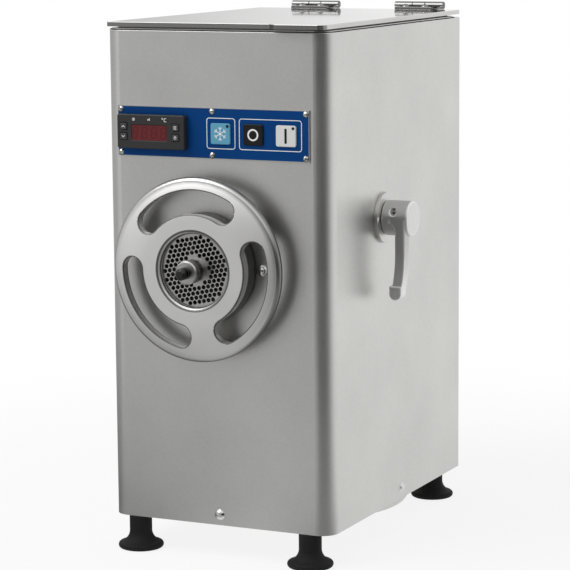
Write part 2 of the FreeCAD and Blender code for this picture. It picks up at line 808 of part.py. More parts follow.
def make_plate():
    face = front - neck_out - plate_proud
    plate = rod_y(axis_x, axis_z, plate_r, face, face + plate_t)
    turn = math.radians(plate_hole_turn)
    span = int(plate_r / plate_hole_pitch) + 1
    holes = [rod_y(axis_x, axis_z, bush_stem_r + seat_fit, face - 1, face + plate_t + 1)]
    for row in range(-span, span + 1):
        for col in range(-2 * span, 2 * span + 1):
            a = (col + row / 2) * plate_hole_pitch
            b = row * plate_hole_pitch * math.sqrt(3) / 2
            far = math.hypot(a, b) + plate_hole_r
            if far > plate_holes_outer or math.hypot(a, b) < plate_holes_inner:
                continue
            holes.append(rod_y(axis_x + a * math.cos(turn) - b * math.sin(turn),
                               axis_z + a * math.sin(turn) + b * math.cos(turn), plate_hole_r,
                               face - 1, face + plate_t + 1))
    save("grinding_plate", plate.cut(holes))
    tip = front - bush_out
    points = [(pin_r + shaft_fit, tip), (bush_r - bush_chamfer, tip), (bush_r, tip + bush_chamfer),
              (bush_r, face), (bush_stem_r, face), (bush_stem_r, face + plate_t),
              (pin_r + shaft_fit, face + plate_t)]
    save("plate_bush", turned_y(points, axis_x, axis_z))


def make_worm():
    knife_front = front - neck_out - plate_proud + plate_t + shaft_fit
    square = knife_square / 2
    flight_front = knife_front + knife_t + part_gap
    flight_rear = barrel_rear - barrel_wall - part_gap
    tip = front - pin_out
    groove = front - (pin_out + bush_out) / 2
    points = [(0, tip), (pin_r - pin_tip, tip), (pin_r, tip + pin_tip), (pin_r, groove - pin_groove_w / 2),
              (pin_groove_r, groove - pin_groove_w / 2), (pin_groove_r, groove + pin_groove_w / 2),
              (pin_r, groove + pin_groove_w / 2), (pin_r, flight_front), (core_r, flight_front),
              (core_r, barrel_rear + part_gap), (0, barrel_rear + part_gap)]
    core = turned_y(points, axis_x, axis_z)
    seat = block(axis_x - square, axis_x + square, knife_front, flight_front, axis_z - square,
                 axis_z + square)
    drive = hex_y(axis_x, axis_z, hex_af, barrel_rear, barrel_rear + hex_len)
    flight_r = bore_r - flight_gap
    length = flight_rear - flight_front - flight_t
    path = Part.makeHelix(flight_pitch, length, flight_r)
    section = Part.makePolygon([V(core_r - flight_root, 0, -flight_t / 2), V(flight_r, 0, -flight_t / 4),
                                V(flight_r, 0, flight_t / 4), V(core_r - flight_root, 0, flight_t / 2),
                                V(core_r - flight_root, 0, -flight_t / 2)])
    flight = Part.Wire(path).makePipeShell([section], True, True)
    flight.rotate(V(0, 0, 0), V(1, 0, 0), -90)
    flight.translate(V(axis_x, flight_front + flight_t / 2, axis_z))
    save("worm", join(core, seat, drive, flight))
    hub = rod_y(axis_x, axis_z, square * 2, knife_front, knife_front + knife_t)
    arms = []
    for k in range(4):
        arm = Part.makeBox(knife_r, knife_arm_t, knife_arm_w, V(axis_x, knife_front, axis_z))
        arm.rotate(V(axis_x, 0, axis_z), V(0, 1, 0), 90 * k)
        arms.append(arm)
    knife = join(hub, *arms).common(rod_y(axis_x, axis_z, knife_r, knife_front, knife_front + knife_t))
    inner = square + shaft_fit
    save("knife", knife.cut(block(axis_x - inner, axis_x + inner, knife_front - 1, knife_front + knife_t + 1,
                                  axis_z - inner, axis_z + inner)))


def kidney(angle, y0, y1):
    # Curved slot with round ends, cut along Y.
    mid = math.radians(angle)
    half = math.radians(slot_half_span)

    def at(r, a):
        return V(axis_x + r * math.cos(a), y0, axis_z + r * math.sin(a))

    outer = slot_mid_r + slot_half_w
    inner = slot_mid_r - slot_half_w
    ahead = slot_half_w / slot_mid_r
    start = mid - half
    end = mid + half
    edges = [Part.Arc(at(outer, start), at(outer, mid), at(outer, end)),
             Part.Arc(at(outer, end), at(slot_mid_r, end + ahead), at(inner, end)),
             Part.Arc(at(inner, end), at(inner, mid), at(inner, start)),
             Part.Arc(at(inner, start), at(slot_mid_r, start - ahead), at(outer, start))]
    return Part.Face(Part.Wire([e.toShape() for e in edges])).extrude(V(0, y1 - y0, 0))


def make_handwheel():
    lip_back = front - neck_out - plate_proud - thrust_t
    hub = front - hub_out
    rim = front - rim_out
    inner = neck_r + thread_gap
    run = wheel_r - rim_r - hub_flat_r
    drop = hub_out - rim_out - rim_r
    bow_r = (run * run + drop * drop) / (2 * drop)
    half_drop = bow_r - math.sqrt(bow_r * bow_r - run * run / 4)
    line = [V(inner, front - skirt_gap, 0), V(inner, lip_back, 0), V(lip_r, lip_back, 0),
            V(lip_r, hub + lip_chamfer, 0), V(lip_r + lip_chamfer, hub, 0), V(hub_flat_r, hub, 0)]
    tail = [V(wheel_r - rim_r, rim + rim_r, 0), V(skirt_r, hub + disc_t, 0),
            V(skirt_r, front - skirt_gap, 0), V(inner, front - skirt_gap, 0)]
    edges = [Part.LineSegment(a, b) for a, b in zip(line, line[1:])]
    rim_front = V(wheel_r - rim_r, rim - rim_r, 0)
    edges.append(Part.Arc(line[-1], V(hub_flat_r + run / 2, hub + half_drop, 0), rim_front))
    edges.append(Part.Arc(rim_front, V(wheel_r, rim, 0), tail[0]))
    edges += [Part.LineSegment(a, b) for a, b in zip(tail, tail[1:])]
    profile = Part.Face(Part.Wire([e.toShape() for e in edges]))
    wheel = profile.revolve(V(0, 0, 0), V(0, 1, 0), 360)
    wheel.translate(V(axis_x, 0, axis_z))
    cuts = [kidney(slot_first + 360 / slot_count * k, hub - 1, front) for k in range(slot_count)]
    save("ring_nut_wheel", wheel.cut(cuts))
    save("thrust_ring", ring_y(axis_x, axis_z, thrust_r, plate_r, lip_back, lip_back + thrust_t))


def make_lock():
    wall = half_w
    hub0 = hub_end - hub_len
    hub1 = hub_end
    flange = rod_x(lock_y, lock_z, lock_flange_r, wall, wall + lock_flange_t)
    flange = flange.cut(rod_x(lock_y, lock_z, lock_shaft_r + shaft_fit, wall - 1, hub0))
    flange = flange.cut([screw_hole(p, V(1, 0, 0), lock_screw_r, lock_flange_t + 1)
                         for p in lock_screw_places()])
    save("lock_flange", flange)
    out = hub1 - arm_back
    bend_z = arm_len - pad_r - arm_straight
    bend_r = (arm_set_in * arm_set_in + bend_z * bend_z) / (2 * arm_set_in)
    half_in = bend_r - math.sqrt(bend_r * bend_r - bend_z * bend_z / 4)
    bend = [V(out, 0, -arm_straight), V(out - half_in, 0, -arm_straight - bend_z / 2),
            V(out - arm_set_in, 0, -arm_straight - bend_z)]
    inner_bend = [p - V(arm_t, 0, 0) for p in bend]
    flare_x = out - arm_t - arm_flare
    flare_z = -arm_flare_drop - arm_flare_len
    flare_mid = V(flare_x + arm_flare * math.sqrt(0.5), 0, flare_z + arm_flare_len * math.sqrt(0.5))
    corners = [V(out, 0, 0), V(flare_x, 0, 0), V(flare_x, 0, -arm_flare_drop), V(out - arm_t, 0, flare_z)]
    sides = [Part.LineSegment(corners[0], bend[0]), Part.Arc(*bend), Part.LineSegment(bend[2], inner_bend[2]),
             Part.Arc(*reversed(inner_bend)), Part.LineSegment(inner_bend[0], corners[3]),
             Part.Arc(corners[3], flare_mid, corners[2]), Part.LineSegment(corners[2], corners[1]),
             Part.LineSegment(corners[1], corners[0])]
    arm = Part.Face(Part.Wire([c.toShape() for c in sides])).extrude(V(0, arm_w, 0))
    pad_x = out - arm_set_in - arm_t / 2
    pad_z = pad_r - arm_len
    pad = Part.makeCylinder(pad_r, arm_w + pad_proud, V(pad_x, -pad_proud, pad_z), V(0, 1, 0))
    pad_top = block(pad_x - pad_r, pad_x + pad_r, -pad_proud, arm_w, pad_z, pad_z + pad_len)
    arm = join(arm, pad, pad_top)
    arm.translate(V(0, lock_y - hub_r, lock_z))
    hub = rod_x(lock_y, lock_z, hub_r, hub0, hub1)
    lever = join(hub, arm).cut(rod_x(lock_y, lock_z, lock_shaft_r + seat_fit, hub0 - 1, hub1 - arm_t / 2))
    set_x = hub0 + set_screw_in
    tilt = math.radians(set_screw_tilt)
    set_axis = V(0, -math.cos(tilt), math.sin(tilt))
    set_hole = Part.makeCylinder(set_screw_r, hub_r + 1, V(set_x, lock_y, lock_z), set_axis)
    lever = lever.cut(set_hole.cut(rod_x(lock_y, lock_z, lock_shaft_r, hub0, hub1)))
    save("lock_lever", lever)
    left = axis_x - sleeve_r
    shaft = rod_x(lock_y, lock_z, lock_shaft_r, left, hub1 - arm_t / 2 - seat_fit)
    cam_x = axis_x - lock_cam_half
    flat = block(cam_x, cam_x + 2 * lock_cam_half, lock_y - 2 * lock_shaft_r, lock_y + 2 * lock_shaft_r,
                 lock_z, lock_z + 2 * lock_shaft_r)
    save("lock_shaft", shaft.cut(flat))
    centre = V(set_x, lock_y, lock_z)
    screw = Part.makeCylinder(set_screw_r - shaft_fit, hub_r - set_screw_sunk, centre, set_axis)
    screw = screw.cut(rod_x(lock_y, lock_z, lock_shaft_r + shaft_fit, hub0, hub1))
    key_start = centre + set_axis * ((hub_r + lock_shaft_r) / 2)
    save("lever_set_screw", screw.cut(Part.makeCylinder(set_screw_r / 2, hub_r, key_start, set_axis)))


def gear(x, y0, width, teeth, first_tooth):
    # Spur gear about a Y line. Flanks are involutes with a named backlash.
    pitch_r = gear_module * teeth / 2
    tip_r = pitch_r + gear_addendum * gear_module
    root_r = pitch_r - gear_dedendum * gear_module
    base_r = pitch_r * math.cos(math.radians(gear_angle))

    def spread(r):
        t = math.acos(min(1.0, base_r / r))
        return math.tan(t) - t

    half_tooth = math.pi / (2 * teeth) - gear_backlash / (2 * pitch_r) + spread(pitch_r)
    low_r = max(base_r, root_r)
    below = 1 if root_r < base_r else 0
    steps = 5
    flank = [(low_r + (tip_r - low_r) * k / steps) for k in range(steps + 1)]
    points = []
    for tooth in range(teeth):
        mid = math.radians(first_tooth) + 2 * math.pi * tooth / teeth
        rise = [(r, mid - half_tooth + spread(r)) for r in flank]
        fall = [(r, mid + half_tooth - spread(r)) for r in reversed(flank)]
        foot = half_tooth - spread(low_r)
        points += [(root_r, mid - foot)] * below + rise + fall + [(root_r, mid + foot)] * below
    ring = [V(x + r * math.cos(a), y0, axis_z + r * math.sin(a)) for r, a in points]
    return Part.Face(Part.makePolygon(ring + ring[:1])).extrude(V(0, width, 0))


def make_gearbox():
    room_r = gear_r + case_gap
    out_r = room_r + case_wall

    def two_lobes(r, y0, y1):
        return join(rod_y(axis_x, axis_z, r, y0, y1), rod_y(counter_x, axis_z, r, y0, y1),
                    block(axis_x, counter_x, y0, y1, axis_z - r, axis_z + r))

    room_y = case_y + case_front
    foot = block(axis_x, counter_x, case_y, cover_y, shelf_z, axis_z)
    bolts = gearbox_bolt_places()
    bosses = [rod_y(x, z, 2 * gear_bolt_r, room_y, cover_y) for x, z in bolts]
    case = two_lobes(out_r, case_y, cover_y).cut(two_lobes(room_r, room_y, cover_y + 1))
    case = case.fuse(foot.cut(two_lobes(out_r, case_y - 1, cover_y + 1)))
    keep_out = [rod_y(axis_x, axis_z, gear_r + part_gap, room_y, cover_y),
                rod_y(counter_x, axis_z, gear_r + part_gap, room_y, cover_y)]
    case = case.fuse([b.cut(keep_out) for b in bosses])
    cuts = [rod_y(axis_x, axis_z, output_r + part_gap, case_y - 1, room_y + 1),
            rod_y(axis_x, axis_z, output_bearing_r, room_y - bearing_w, room_y + 1),
            rod_y(counter_x, axis_z, counter_bearing_r, room_y - bearing_w, room_y + 1)]
    cuts += [rod_y(x, z, gear_bolt_r + shaft_fit, room_y, cover_y + 1) for x, z in bolts]
    save("gearbox_case", case.cut(cuts).removeSplitter())
    cover = two_lobes(out_r, cover_y, motor_y)
    cuts = [rod_y(axis_x, axis_z, rotor_shaft_r + part_gap, cover_y - 1, motor_y + 1),
            rod_y(axis_x, axis_z, rotor_bearing_r, motor_y - bearing_w, motor_y + 1),
            rod_y(counter_x, axis_z, counter_bearing_r, cover_y - 1, cover_y + bearing_w)]
    cuts += [rod_y(x, z, gear_bolt_r + shaft_fit, cover_y - 1, motor_y + 1) for x, z in bolts]
    save("gearbox_cover", cover.cut(cuts))
    stage_two = room_y + gear_end_gap
    stage_one = cover_y - gear_end_gap - first_gear_w
    output = join(gear(axis_x, stage_two, gear_w, wheel_teeth, 0),
                  rod_y(axis_x, axis_z, output_r, case_y + part_gap, stage_two))
    socket = hex_y(axis_x, axis_z, hex_af + 2 * part_gap, case_y, barrel_rear + hex_len + part_gap)
    save("output_gear", output.cut(socket))
    gap_turn = 180.0 + 180.0 / pinion_teeth
    counter = join(gear(counter_x, stage_two, stage_one - stage_two, pinion_teeth, gap_turn),
                   gear(counter_x, stage_one, first_gear_w, wheel_teeth, 180.0 / wheel_teeth),
                   rod_y(counter_x, axis_z, counter_r, room_y - bearing_w, cover_y + bearing_w - part_gap))
    save("counter_gears", counter)
    rotor_y0 = motor_y + stator_end
    rotor_y1 = motor_end - stator_end
    rotor = join(gear(axis_x, stage_one, first_gear_w, pinion_teeth, 0),
                 rod_y(axis_x, axis_z, rotor_shaft_r, stage_one + first_gear_w, motor_end + bearing_w))
    save("rotor", rotor.fuse(rod_y(axis_x, axis_z, rotor_r, rotor_y0, rotor_y1)).removeSplitter())
    bearing_seats = [(axis_x, output_r, output_bearing_r, room_y - bearing_w, room_y),
                     (counter_x, counter_r, counter_bearing_r, room_y - bearing_w, room_y - part_gap),
                     (counter_x, counter_r, counter_bearing_r, cover_y + part_gap, cover_y + bearing_w),
                     (axis_x, rotor_shaft_r, rotor_bearing_r, motor_y - bearing_w, motor_y),
                     (axis_x, rotor_shaft_r, rotor_bearing_r, motor_end, motor_end + bearing_w)]
    save("gear_bearings", *[ring_y(x, axis_z, r0 + shaft_fit, r1 - seat_fit, y0, y1)
                            for x, r0, r1, y0, y1 in bearing_seats])
    save("stator", ring_y(axis_x, axis_z, rotor_r + air_gap, motor_r - motor_wall - seat_fit,
                          rotor_y0, rotor_y1))
    save("motor_shell", ring_y(axis_x, axis_z, motor_r - motor_wall, motor_r, motor_y, motor_end))
    shield = rod_y(axis_x, axis_z, motor_r, motor_end, motor_end + shield_t)
    save("motor_end_shield", shield.cut(rod_y(axis_x, axis_z, rotor_bearing_r, motor_end - 1,
                                              motor_end + bearing_w + 1)))
    x = inner_x - fold_gap
    shelf = block(-x, x, case_y, inner_rear - shelf_rear_gap - sheet, shelf_z - shelf_fold, shelf_z)
    shelf = shelf.cut(block(-x + shelf_t, x - shelf_t, case_y - 1, half_d, shelf_z - shelf_fold - 1,
                            shelf_z - shelf_t))
    save("drive_shelf", shelf)


def make_cooling():
    jacket = ring_y(axis_x, axis_z, sleeve_r + shaft_fit, jacket_r, jacket_y0, jacket_y0 + jacket_w)
    stub_in = jacket_r - jacket_t / 2
    stub_out = jacket_r + stub_len
    side_stub = rod_x(jacket_mid, axis_z, pipe_r, axis_x - stub_out, axis_x - stub_in)
    low_stub = rod_z(axis_x, jacket_mid, pipe_r, axis_z - stub_out, axis_z - stub_in)
    save("evaporator_jacket", join(jacket, side_stub, low_stub))
    shell_z0 = dish_floor + compressor_plate_t
    shell_z1 = shelf_z - compressor_head
    inner_r = compressor_r - compressor_dome
    shell = turned_z([(0, shell_z0), (inner_r, shell_z0),
                      (compressor_r, shell_z0 + compressor_dome, -quarter),
                      (compressor_r, shell_z1 - compressor_dome), (inner_r, shell_z1, -quarter),
                      (0, shell_z1)], 0, compressor_y)
    half = compressor_plate_w / 2
    plate = soft_block(-half, half, compressor_y - half, compressor_y + half, dish_floor, shell_z0,
                       corner_r, V(0, 0, 1))
    suction_z = base_top + suction_h
    reach = compressor_r + stub_len
    discharge = rod_x(compressor_y, coil_zs[-1], pipe_r, compressor_r / 2, reach)
    suction = rod_x(compressor_y, suction_z, pipe_r, -reach, -compressor_r / 2)
    middle_z = (shell_z0 + shell_z1) / 2
    terminal = block(-terminal_w / 2, terminal_w / 2, compressor_y - compressor_r - terminal_d, compressor_y,
                     middle_z - terminal_h / 2, middle_z + terminal_h / 2)
    save("compressor", join(shell, plate, discharge, suction, terminal))
    end0 = condenser_x0 - condenser_end
    end1 = condenser_x1 + condenser_end
    pieces = []
    for x in (condenser_x0, condenser_x1 - end_plate_t):
        pieces.append(block(x, x + end_plate_t, condenser_y0, condenser_y1, base_top, base_top + condenser_h))
    fins = int((condenser_w - 2 * fin_pitch) / fin_pitch)
    first = condenser_x - fin_pitch * (fins - 1) / 2
    for k in range(fins):
        x = first + fin_pitch * k
        pieces.append(block(x - fin_t / 2, x + fin_t / 2, condenser_y0 + end_plate_t,
                            condenser_y1 - end_plate_t, base_top + end_plate_t,
                            base_top + condenser_h - end_plate_t))
    rows = [rod_x(condenser_mid, z, coil_tube_r, end0, end1) for z in coil_zs]
    turns = [rod_z(end0 if k % 2 else end1, condenser_mid, coil_tube_r, coil_zs[k], coil_zs[k + 1])
             for k in range(coil_rows - 1)]
    inlet = rod_x(condenser_mid, coil_zs[-1], pipe_r, end1 - 1, end1 + stub_len)
    outlet = rod_x(condenser_mid, coil_zs[0], pipe_r, end0 - stub_len, end0 + 1)
    save("condenser", join(rows[0], *(rows[1:] + turns + pieces + [inlet, outlet])))
    side_x = inner_x - hot_pipe_in
    hot = [V(reach, compressor_y, coil_zs[-1]), V(side_x, compressor_y, coil_zs[-1]),
           V(side_x, condenser_mid, coil_zs[-1]), V(end1 + stub_len, condenser_mid, coil_zs[-1])]
    jacket_x = axis_x - stub_out
    cold_x = -inner_x + cold_pipe_in
    cold = [V(jacket_x, jacket_mid, axis_z), V(cold_x, jacket_mid, axis_z), V(cold_x, jacket_mid, suction_z),
            V(cold_x, compressor_y, suction_z), V(-reach, compressor_y, suction_z)]
    liquid_x = -inner_x + liquid_pipe_in
    low_z = axis_z - stub_out
    liquid = [V(end0 - stub_len, condenser_mid, coil_zs[0]), V(liquid_x, condenser_mid, coil_zs[0]),
              V(liquid_x, jacket_mid, coil_zs[0]), V(liquid_x, jacket_mid, low_z - liquid_drop),
              V(axis_x, jacket_mid, low_z - liquid_drop), V(axis_x, jacket_mid, low_z)]
    save("refrigerant_pipes", *[tube(route, pipe_r, pipe_bend) for route in (hot, cold, liquid)])


def make_condenser_fan():
    z = base_top + condenser_h / 2
    y1 = condenser_y0 - fan_gap
    y0 = y1 - fan_depth
    motor_y1 = y0 - fan_gap / 2
    motor_y0 = motor_y1 - fan_motor_len
    hub = rod_y(condenser_x, z, fan_hub_r, y0, y1)
    blades = []
    for k in range(fan_blades):
        blade = Part.makeBox(fan_r, fan_blade_t, fan_blade_w,
                             V(condenser_x, (y0 + y1 - fan_blade_t) / 2, z - fan_blade_w / 2))
        blade.rotate(V(condenser_x, (y0 + y1) / 2, z), V(1, 0, 0), fan_blade_turn)
        blade.rotate(V(condenser_x, 0, z), V(0, 1, 0), 360 * k / fan_blades)
        blades.append(blade)
    fan = join(hub, *blades).common(rod_y(condenser_x, z, fan_r, y0, y1))
    shaft = rod_y(condenser_x, z, fan_shaft_r, motor_y1 - fan_motor_len / 2, y1)
    save("condenser_fan", join(fan, shaft))
    motor = rod_y(condenser_x, z, fan_motor_r, motor_y0, motor_y1)
    arm_y = (motor_y0 + motor_y1) / 2
    pieces = [block(condenser_x0, condenser_x1, arm_y - fan_arm_t / 2, arm_y + fan_arm_t / 2,
                    z - fan_arm_w / 2, z + fan_arm_w / 2)]
    for x in (condenser_x0, condenser_x1 - end_plate_t):
        pieces.append(block(x, x + end_plate_t, arm_y, condenser_y0, z - fan_arm_w / 2, z + fan_arm_w / 2))
    socket = rod_y(condenser_x, z, fan_shaft_r + shaft_fit, motor_y1 - fan_motor_len / 2 - 1, motor_y1 + 1)
    save("condenser_fan_motor", join(motor, *pieces).cut(socket))


def make_panel():
    panel = block(panel_x0, panel_x1, panel_face, front, panel_z0, panel_z1)
    w = thermostat_w / 2 + part_gap
    h = thermostat_h / 2 + part_gap
    cuts = [block(bezel_mid_x - w, bezel_mid_x + w, panel_face - 1, front + 1, panel_mid_z - h,
                  panel_mid_z + h)]
    cuts += [button_hole(x, 1) for _, x in button_xs]
    cuts += [screw_hole(p, V(0, -1, 0), panel_screw_r, 2 * panel_t) for p in panel_screw_places()]
    save("control_panel", panel.cut(cuts))
    save("panel_screws", *[slotted_screw(p, V(0, -1, 0), panel_screw_head_r, panel_screw_h, panel_screw_r,
                                         panel_t + screw_len, slot_turn * k)
                           for k, p in enumerate(panel_screw_places())])
    x1 = bezel_x0 + bezel_w
    z0 = panel_mid_z - bezel_h / 2
    z1 = panel_mid_z + bezel_h / 2
    back = bezel_face + bezel_wall
    bezel = soft_block(bezel_x0, x1, bezel_face, panel_face, z0, z1, bezel_r, V(0, 1, 0))
    pocket = block(bezel_x0 + bezel_wall, x1 - bezel_wall, back, panel_face + 1, z0 + bezel_wall,
                   z1 - bezel_wall)
    win_x = bezel_x0 + window_left
    win_z = z1 - window_down - window_h
    opening = block(win_x, win_x + window_w, bezel_face - 1, back + 1, win_z, win_z + window_h)
    keys = [("key_up", key_left_x, key_rise), ("key_down", key_left_x, -key_rise),
            ("key_set", key_right_x, key_rise), ("key_power", key_right_x, -key_rise)]

    def key_block(x, z, grow, y0, y1):
        half_x = key_w / 2 + grow
        half_z = key_h / 2 + grow
        return block(x - half_x, x + half_x, y0, y1, z - half_z, z + half_z)

    key_places = [(name, bezel_x0 + x, panel_mid_z + z) for name, x, z in keys]
    key_holes = [key_block(x, z, key_gap, bezel_face - 1, back + 1) for _, x, z in key_places]
    save("thermostat_bezel", bezel.cut([pocket, opening] + key_holes))
    lens = block(win_x + seat_fit, win_x + window_w - seat_fit, bezel_face + window_t / 2, back,
                 win_z + seat_fit, win_z + window_h - seat_fit)
    lap = block(win_x - window_lap, win_x + window_w + window_lap, back, back + window_t,
                win_z - window_lap, win_z + window_h + window_lap)
    save("thermostat_window", join(lens, lap))
    body_face = panel_face - thermostat_proud
    save("thermostat_body", block(bezel_mid_x - thermostat_w / 2, bezel_mid_x + thermostat_w / 2, body_face,
                                  front + thermostat_d, panel_mid_z - thermostat_h / 2,
                                  panel_mid_z + thermostat_h / 2))
    for name, x, z in key_places:
        cap = key_block(x, z, 0, bezel_face - key_proud, back + key_gap)
        collar = key_block(x, z, key_collar, back + key_gap, back + key_gap + key_collar)
        stem = rod_y(x, z, key_stem / 2, back + key_gap, body_face - key_travel - key_gap)
        save(name, join(cap, collar, stem))
    blocks = []
    for name, x in button_xs:
        half_x = button_w / 2
        half_z = button_h / 2
        save(name + "_button", soft_block(x - half_x, x + half_x, panel_face - button_proud,
                                          front + button_depth, panel_mid_z - half_z, panel_mid_z + half_z,
                                          button_r, V(0, 1, 0)))
        case = block(x - switch_w / 2, x + switch_w / 2, front + sheet, front + sheet + switch_d,
                     panel_mid_z - switch_w / 2, panel_mid_z + switch_w / 2)
        blocks.append(case.cut(button_hole(x, button_pocket)))
    save("switch_blocks", *blocks)


def make_inlet():
    x0 = -inner_x
    z0 = axis_z + box_above
    y1 = inner_rear - box_rear_gap
    save("control_box", block(x0, x0 + box_d, y1 - box_w, y1, z0, z0 + box_h))
    z = floor_z + gland_h
    body = join(rod_y(gland_x, z, gland_thread_r, inner_rear - gland_in, half_d),
                hex_y(gland_x, z, gland_hex_af, half_d, half_d + gland_hex_t),
                rod_y(gland_x, z, gland_cap_r, half_d + gland_hex_t, half_d + gland_out))
    nut = hex_y(gland_x, z, gland_hex_af, inner_rear - gland_hex_t, inner_rear)
    nut = nut.cut(rod_y(gland_x, z, gland_thread_r + shaft_fit, inner_rear - gland_in - 1, half_d))
    save("cable_gland", body.cut(rod_y(gland_x, z, gland_bore_r, inner_rear - gland_in - 1,
                                       half_d + gland_out + 1)), nut)


make_cabinet()
make_back_panel()
make_base()
make_feet()
make_case_screws()
make_hopper()
make_lid()
make_hinges()
make_barrel()
make_plate()
make_worm()
make_handwheel()
make_lock()
make_gearbox()
make_cooling()
make_condenser_fan()
make_panel()
make_inlet()
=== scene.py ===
"""Dressed model of a chilled countertop meat grinder.

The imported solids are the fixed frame. Turned, cast and moulded pieces are edge-rounded copies of
their solids, prints and symbols are new meshes on the face that carries them, and every other solid
keeps its shape and gets its finish here. All lengths are metres, Z is up and the front faces -Y.
"""
import math

import bmesh
import bpy
from bpy.props import FloatProperty, FloatVectorProperty, PointerProperty
from mathutils import Matrix, Vector


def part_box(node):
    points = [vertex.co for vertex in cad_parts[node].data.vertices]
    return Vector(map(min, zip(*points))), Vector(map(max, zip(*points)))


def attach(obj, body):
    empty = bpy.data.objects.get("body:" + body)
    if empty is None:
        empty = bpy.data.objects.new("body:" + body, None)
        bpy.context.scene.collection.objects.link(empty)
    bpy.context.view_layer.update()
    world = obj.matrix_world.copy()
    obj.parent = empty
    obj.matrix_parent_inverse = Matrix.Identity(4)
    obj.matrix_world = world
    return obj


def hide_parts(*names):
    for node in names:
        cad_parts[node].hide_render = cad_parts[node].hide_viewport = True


bl_info = {
    "name": "Chilled meat grinder",
    "version": (1, 0, 0),
    "blender": (4, 5, 0),
    "location": "View3D > Sidebar > Grinder",
    "description": "Dresses the packed solids of a chilled countertop meat grinder",
    "category": "Object",
}

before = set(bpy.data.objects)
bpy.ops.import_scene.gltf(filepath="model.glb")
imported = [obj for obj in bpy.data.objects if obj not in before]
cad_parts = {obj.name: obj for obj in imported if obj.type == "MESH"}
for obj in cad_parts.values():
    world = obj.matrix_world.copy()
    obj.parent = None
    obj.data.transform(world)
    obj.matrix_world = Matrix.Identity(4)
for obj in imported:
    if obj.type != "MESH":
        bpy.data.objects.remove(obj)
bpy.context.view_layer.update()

# Face attribute that marks rounds, the weld distance and the angle in degrees that counts as flat.
EDGE_MARK = "edge"
WELD = 1e-6
FLAT_ANGLE = 0.5

# Each button with its slot, its finish and the finish of its symbol.
BUTTONS = (
    ("cold_button", "button_blue", "cold", "ink"),
    ("stop_button", "button_black", "black", "ink"),
    ("start_button", "button_white", "white", "black"),
)

# White frames on the panel: left and right ends from the panel's left edge.
FRAME_SPANS = ((0.0976, 0.1285), (0.1325, 0.1990))
FRAME_MIDDLE, FRAME_TALL, FRAME_CORNER, FILM_CORNER = 0.02495, 0.0301, 0.003, 0.002

CAMERA_PLACE = (1.05884, -2.25498, 0.63953)
CAMERA_YAW, CAMERA_PITCH, CAMERA_ROLL = 25.421, -8.808, -0.4646
SENSOR_WIDTH = 36.0
LAMP_PLACE, LAMP_AIM, LAMP_SIDE = (-1.3, -1.5, 2.4), (0.0, 0.0, 0.25), 1.8
FLOOR_GREY = (0.84, 0.84, 0.84, 1.0)
PLAIN_WHITE = (1.0, 1.0, 1.0, 1.0)

# The dark screen: an outline that is spun about Z, and the bearings in degrees between which its tone
# changes. TOP_FADE is in metres above the floor.
SCREEN_LINE = ((0.0, -0.19, 0.004), (0.0, -2.0, 0.004), (0.0, -2.2, 0.2), (0.0, -2.2, 1.5))
SCREEN_START, SCREEN_SWEEP, SCREEN_STEPS = -170, 280, 84
WING_RISE, NEAR_RISE, WING_END = (-64, -44), (-36, -14), (-23, -5)
STRIP_MIDDLE, STRIP_FADE = -26, (4, 10)
RIGHT_FADE, LEFT_FADE, TOP_FADE = (48, 112), (-166, -138), (0.6, 1.5)


def number(name, description, default, unit="NONE", precision=3):
    """Property that holds a plain number."""
    return FloatProperty(name=name, description=description, default=default, min=0.0, unit=unit,
                         precision=precision)


def length(name, description, default):
    """Property that holds a length in metres."""
    return number(name, description, default, "LENGTH", 5)


def colour(name, description, default):
    """Property that holds a base colour."""
    return FloatVectorProperty(name=name, description=description, default=default, size=3,
                               min=0.0, max=1.0, subtype="COLOR")


class GrinderSizes(bpy.types.PropertyGroup):
    """Edge rounds, and sizes of the seal, the film and the prints."""
    wheel_edge: length("Wheel edge", "Round along the handwheel's slots and lip", 0.0012)
    lever_edge: length("Lever edge", "Round along the lock lever's edges", 0.0016)
    lid_edge: length("Lid edge", "Round along the lid's top edges", 0.0003)
    leaf_edge: length("Hinge edge", "Round along the hinge leaves and the lock flange", 0.0005)
    bezel_edge: length("Bezel edge", "Round along the thermostat's bezel", 0.0011)
    button_edge: length("Button edge", "Round along the push buttons", 0.0008)
    key_edge: length("Key edge", "Round along the thermostat's keys", 0.0005)
    foot_edge: length("Foot edge", "Round along the rubber feet", 0.0012)
    # The dark bead is painted shade: it stands for the shadow in the gap under the hopper's rim.
    shadow_bead_height: length("Seal height", "Height of the dark bead under the hopper's rim", 0.0013)
    film_margin: length("Film margin", "Bare metal left round the panel's blue film", 0.0007)
    film_height: length("Film thickness", "Thickness of the panel's blue film", 0.00012)
    print_height: length("Print thickness", "Thickness of the printed marks", 0.00008)
    frame_line: length("Frame line", "Width of the white lines round the buttons", 0.0007)


